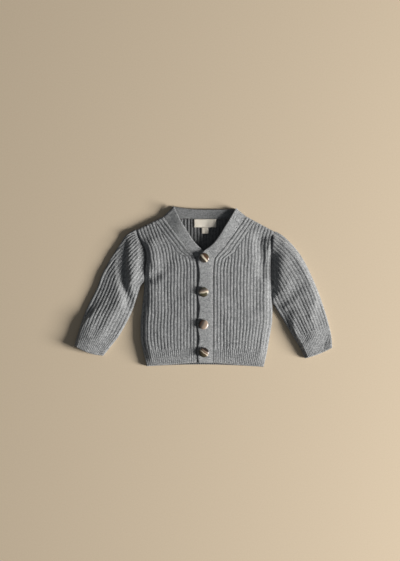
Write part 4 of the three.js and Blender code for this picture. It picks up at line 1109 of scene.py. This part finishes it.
# Stops across the grain, from 0 to 1 over the button, and the turn of the grain in degrees. The
# third runs from pink on the side toward the lamp to dark on the far side: a painted highlight and
# painted shade.
BUTTON_GRAIN = [
    (-48, [(0.0, GREY), (0.35, DARK), (0.44, PALE), (0.52, PALE), (0.6, BROWN), (0.8, BROWN),
           (0.9, OLIVE)]),
    (8, [(0.0, DARK), (0.2, OLIVE), (0.36, OLIVE), (0.47, PALE), (0.58, TAUPE), (0.75, GREY),
         (0.95, OLIVE)]),
    (62, [(0.0, PAINTED_HIGHLIGHT_PINK), (0.2, TAUPE), (0.42, TAUPE), (0.6, GREY), (0.78, BROWN), (0.95, DARK)]),
    (-38, [(0.0, DARK), (0.3, OLIVE), (0.42, BROWN), (0.5, PALE), (0.57, BROWN), (0.7, TAUPE),
           (0.78, DARK)]),
]


def centre_of(place):
    return place[0] * MM, (place[1] + MIDDLE_Y) * MM, 0


def horn(name, place, turn, stops):
    """Horn with streaks across it, turned and centred on its button."""
    finish = Finish(name, Roughness=0.3, Coat_Weight=0.35, Coat_Roughness=0.2)
    values = {"Vector": finish.place(), "Location": centre_of(place),
              "Rotation": (0, 0, math.radians(turn))}
    grain = finish.node("ShaderNodeMapping", {"vector_type": "TEXTURE"}, values)
    across = finish.node("ShaderNodeSeparateXYZ", None, {0: grain}, 1)
    waver = finish.noise(grain, 160.0, 2.0)
    fine_grain = finish.noise(grain, 900.0, 3.0)
    streaks = across * (0.5 / (BUTTON_RADIUS * MM)) + 0.5
    along = streaks + (waver - 0.5) * 0.22 + (fine_grain - 0.5) * 0.05
    colour = finish.node("ShaderNodeValToRGB", {"stops": stops}, {0: along})
    finish.shade("Base Color", colour)
    finish.shade("Roughness", fine_grain * 0.12 + 0.24)
    return finish.material


def button(name, place, material):
    """A dome turned from its profile, that stands just clear of the band round its rim."""
    angles = np.linspace(0, math.tau, RIM_PLACES, endpoint=False)
    rim = np.array(place) + BUTTON_RADIUS * np.stack([np.cos(angles), np.sin(angles)], axis=-1)
    base = left_top(rim).max() + GAP
    bm = bmesh.new()
    profile = [bm.verts.new((r * MM, 0, (base + z) * MM)) for r, z in BUTTON_PROFILE]
    line = [bm.edges.new(pair) for pair in zip(profile, profile[1:])]
    bmesh.ops.spin(bm, geom=profile + line, cent=(0, 0, 0), axis=(0, 0, 1), angle=math.tau,
                   steps=BUTTON_STEPS, use_merge=True)
    bmesh.ops.remove_doubles(bm, verts=bm.verts, dist=1e-6)
    bmesh.ops.recalc_face_normals(bm, faces=bm.faces)
    bmesh.ops.translate(bm, verts=bm.verts, vec=centre_of(place))
    obj = placed(name, bm)
    obj.data.shade_smooth()
    obj.data.materials.append(material)
    return obj


for number, (place, (turn, stops)) in enumerate(zip(BUTTON_PLACES, BUTTON_GRAIN), 1):
    dome = button(f"horn_button_{number}", place, horn(f"horn_{number}", place, turn, stops))
    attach(dome, "root")
    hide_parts(f"button_{number}")
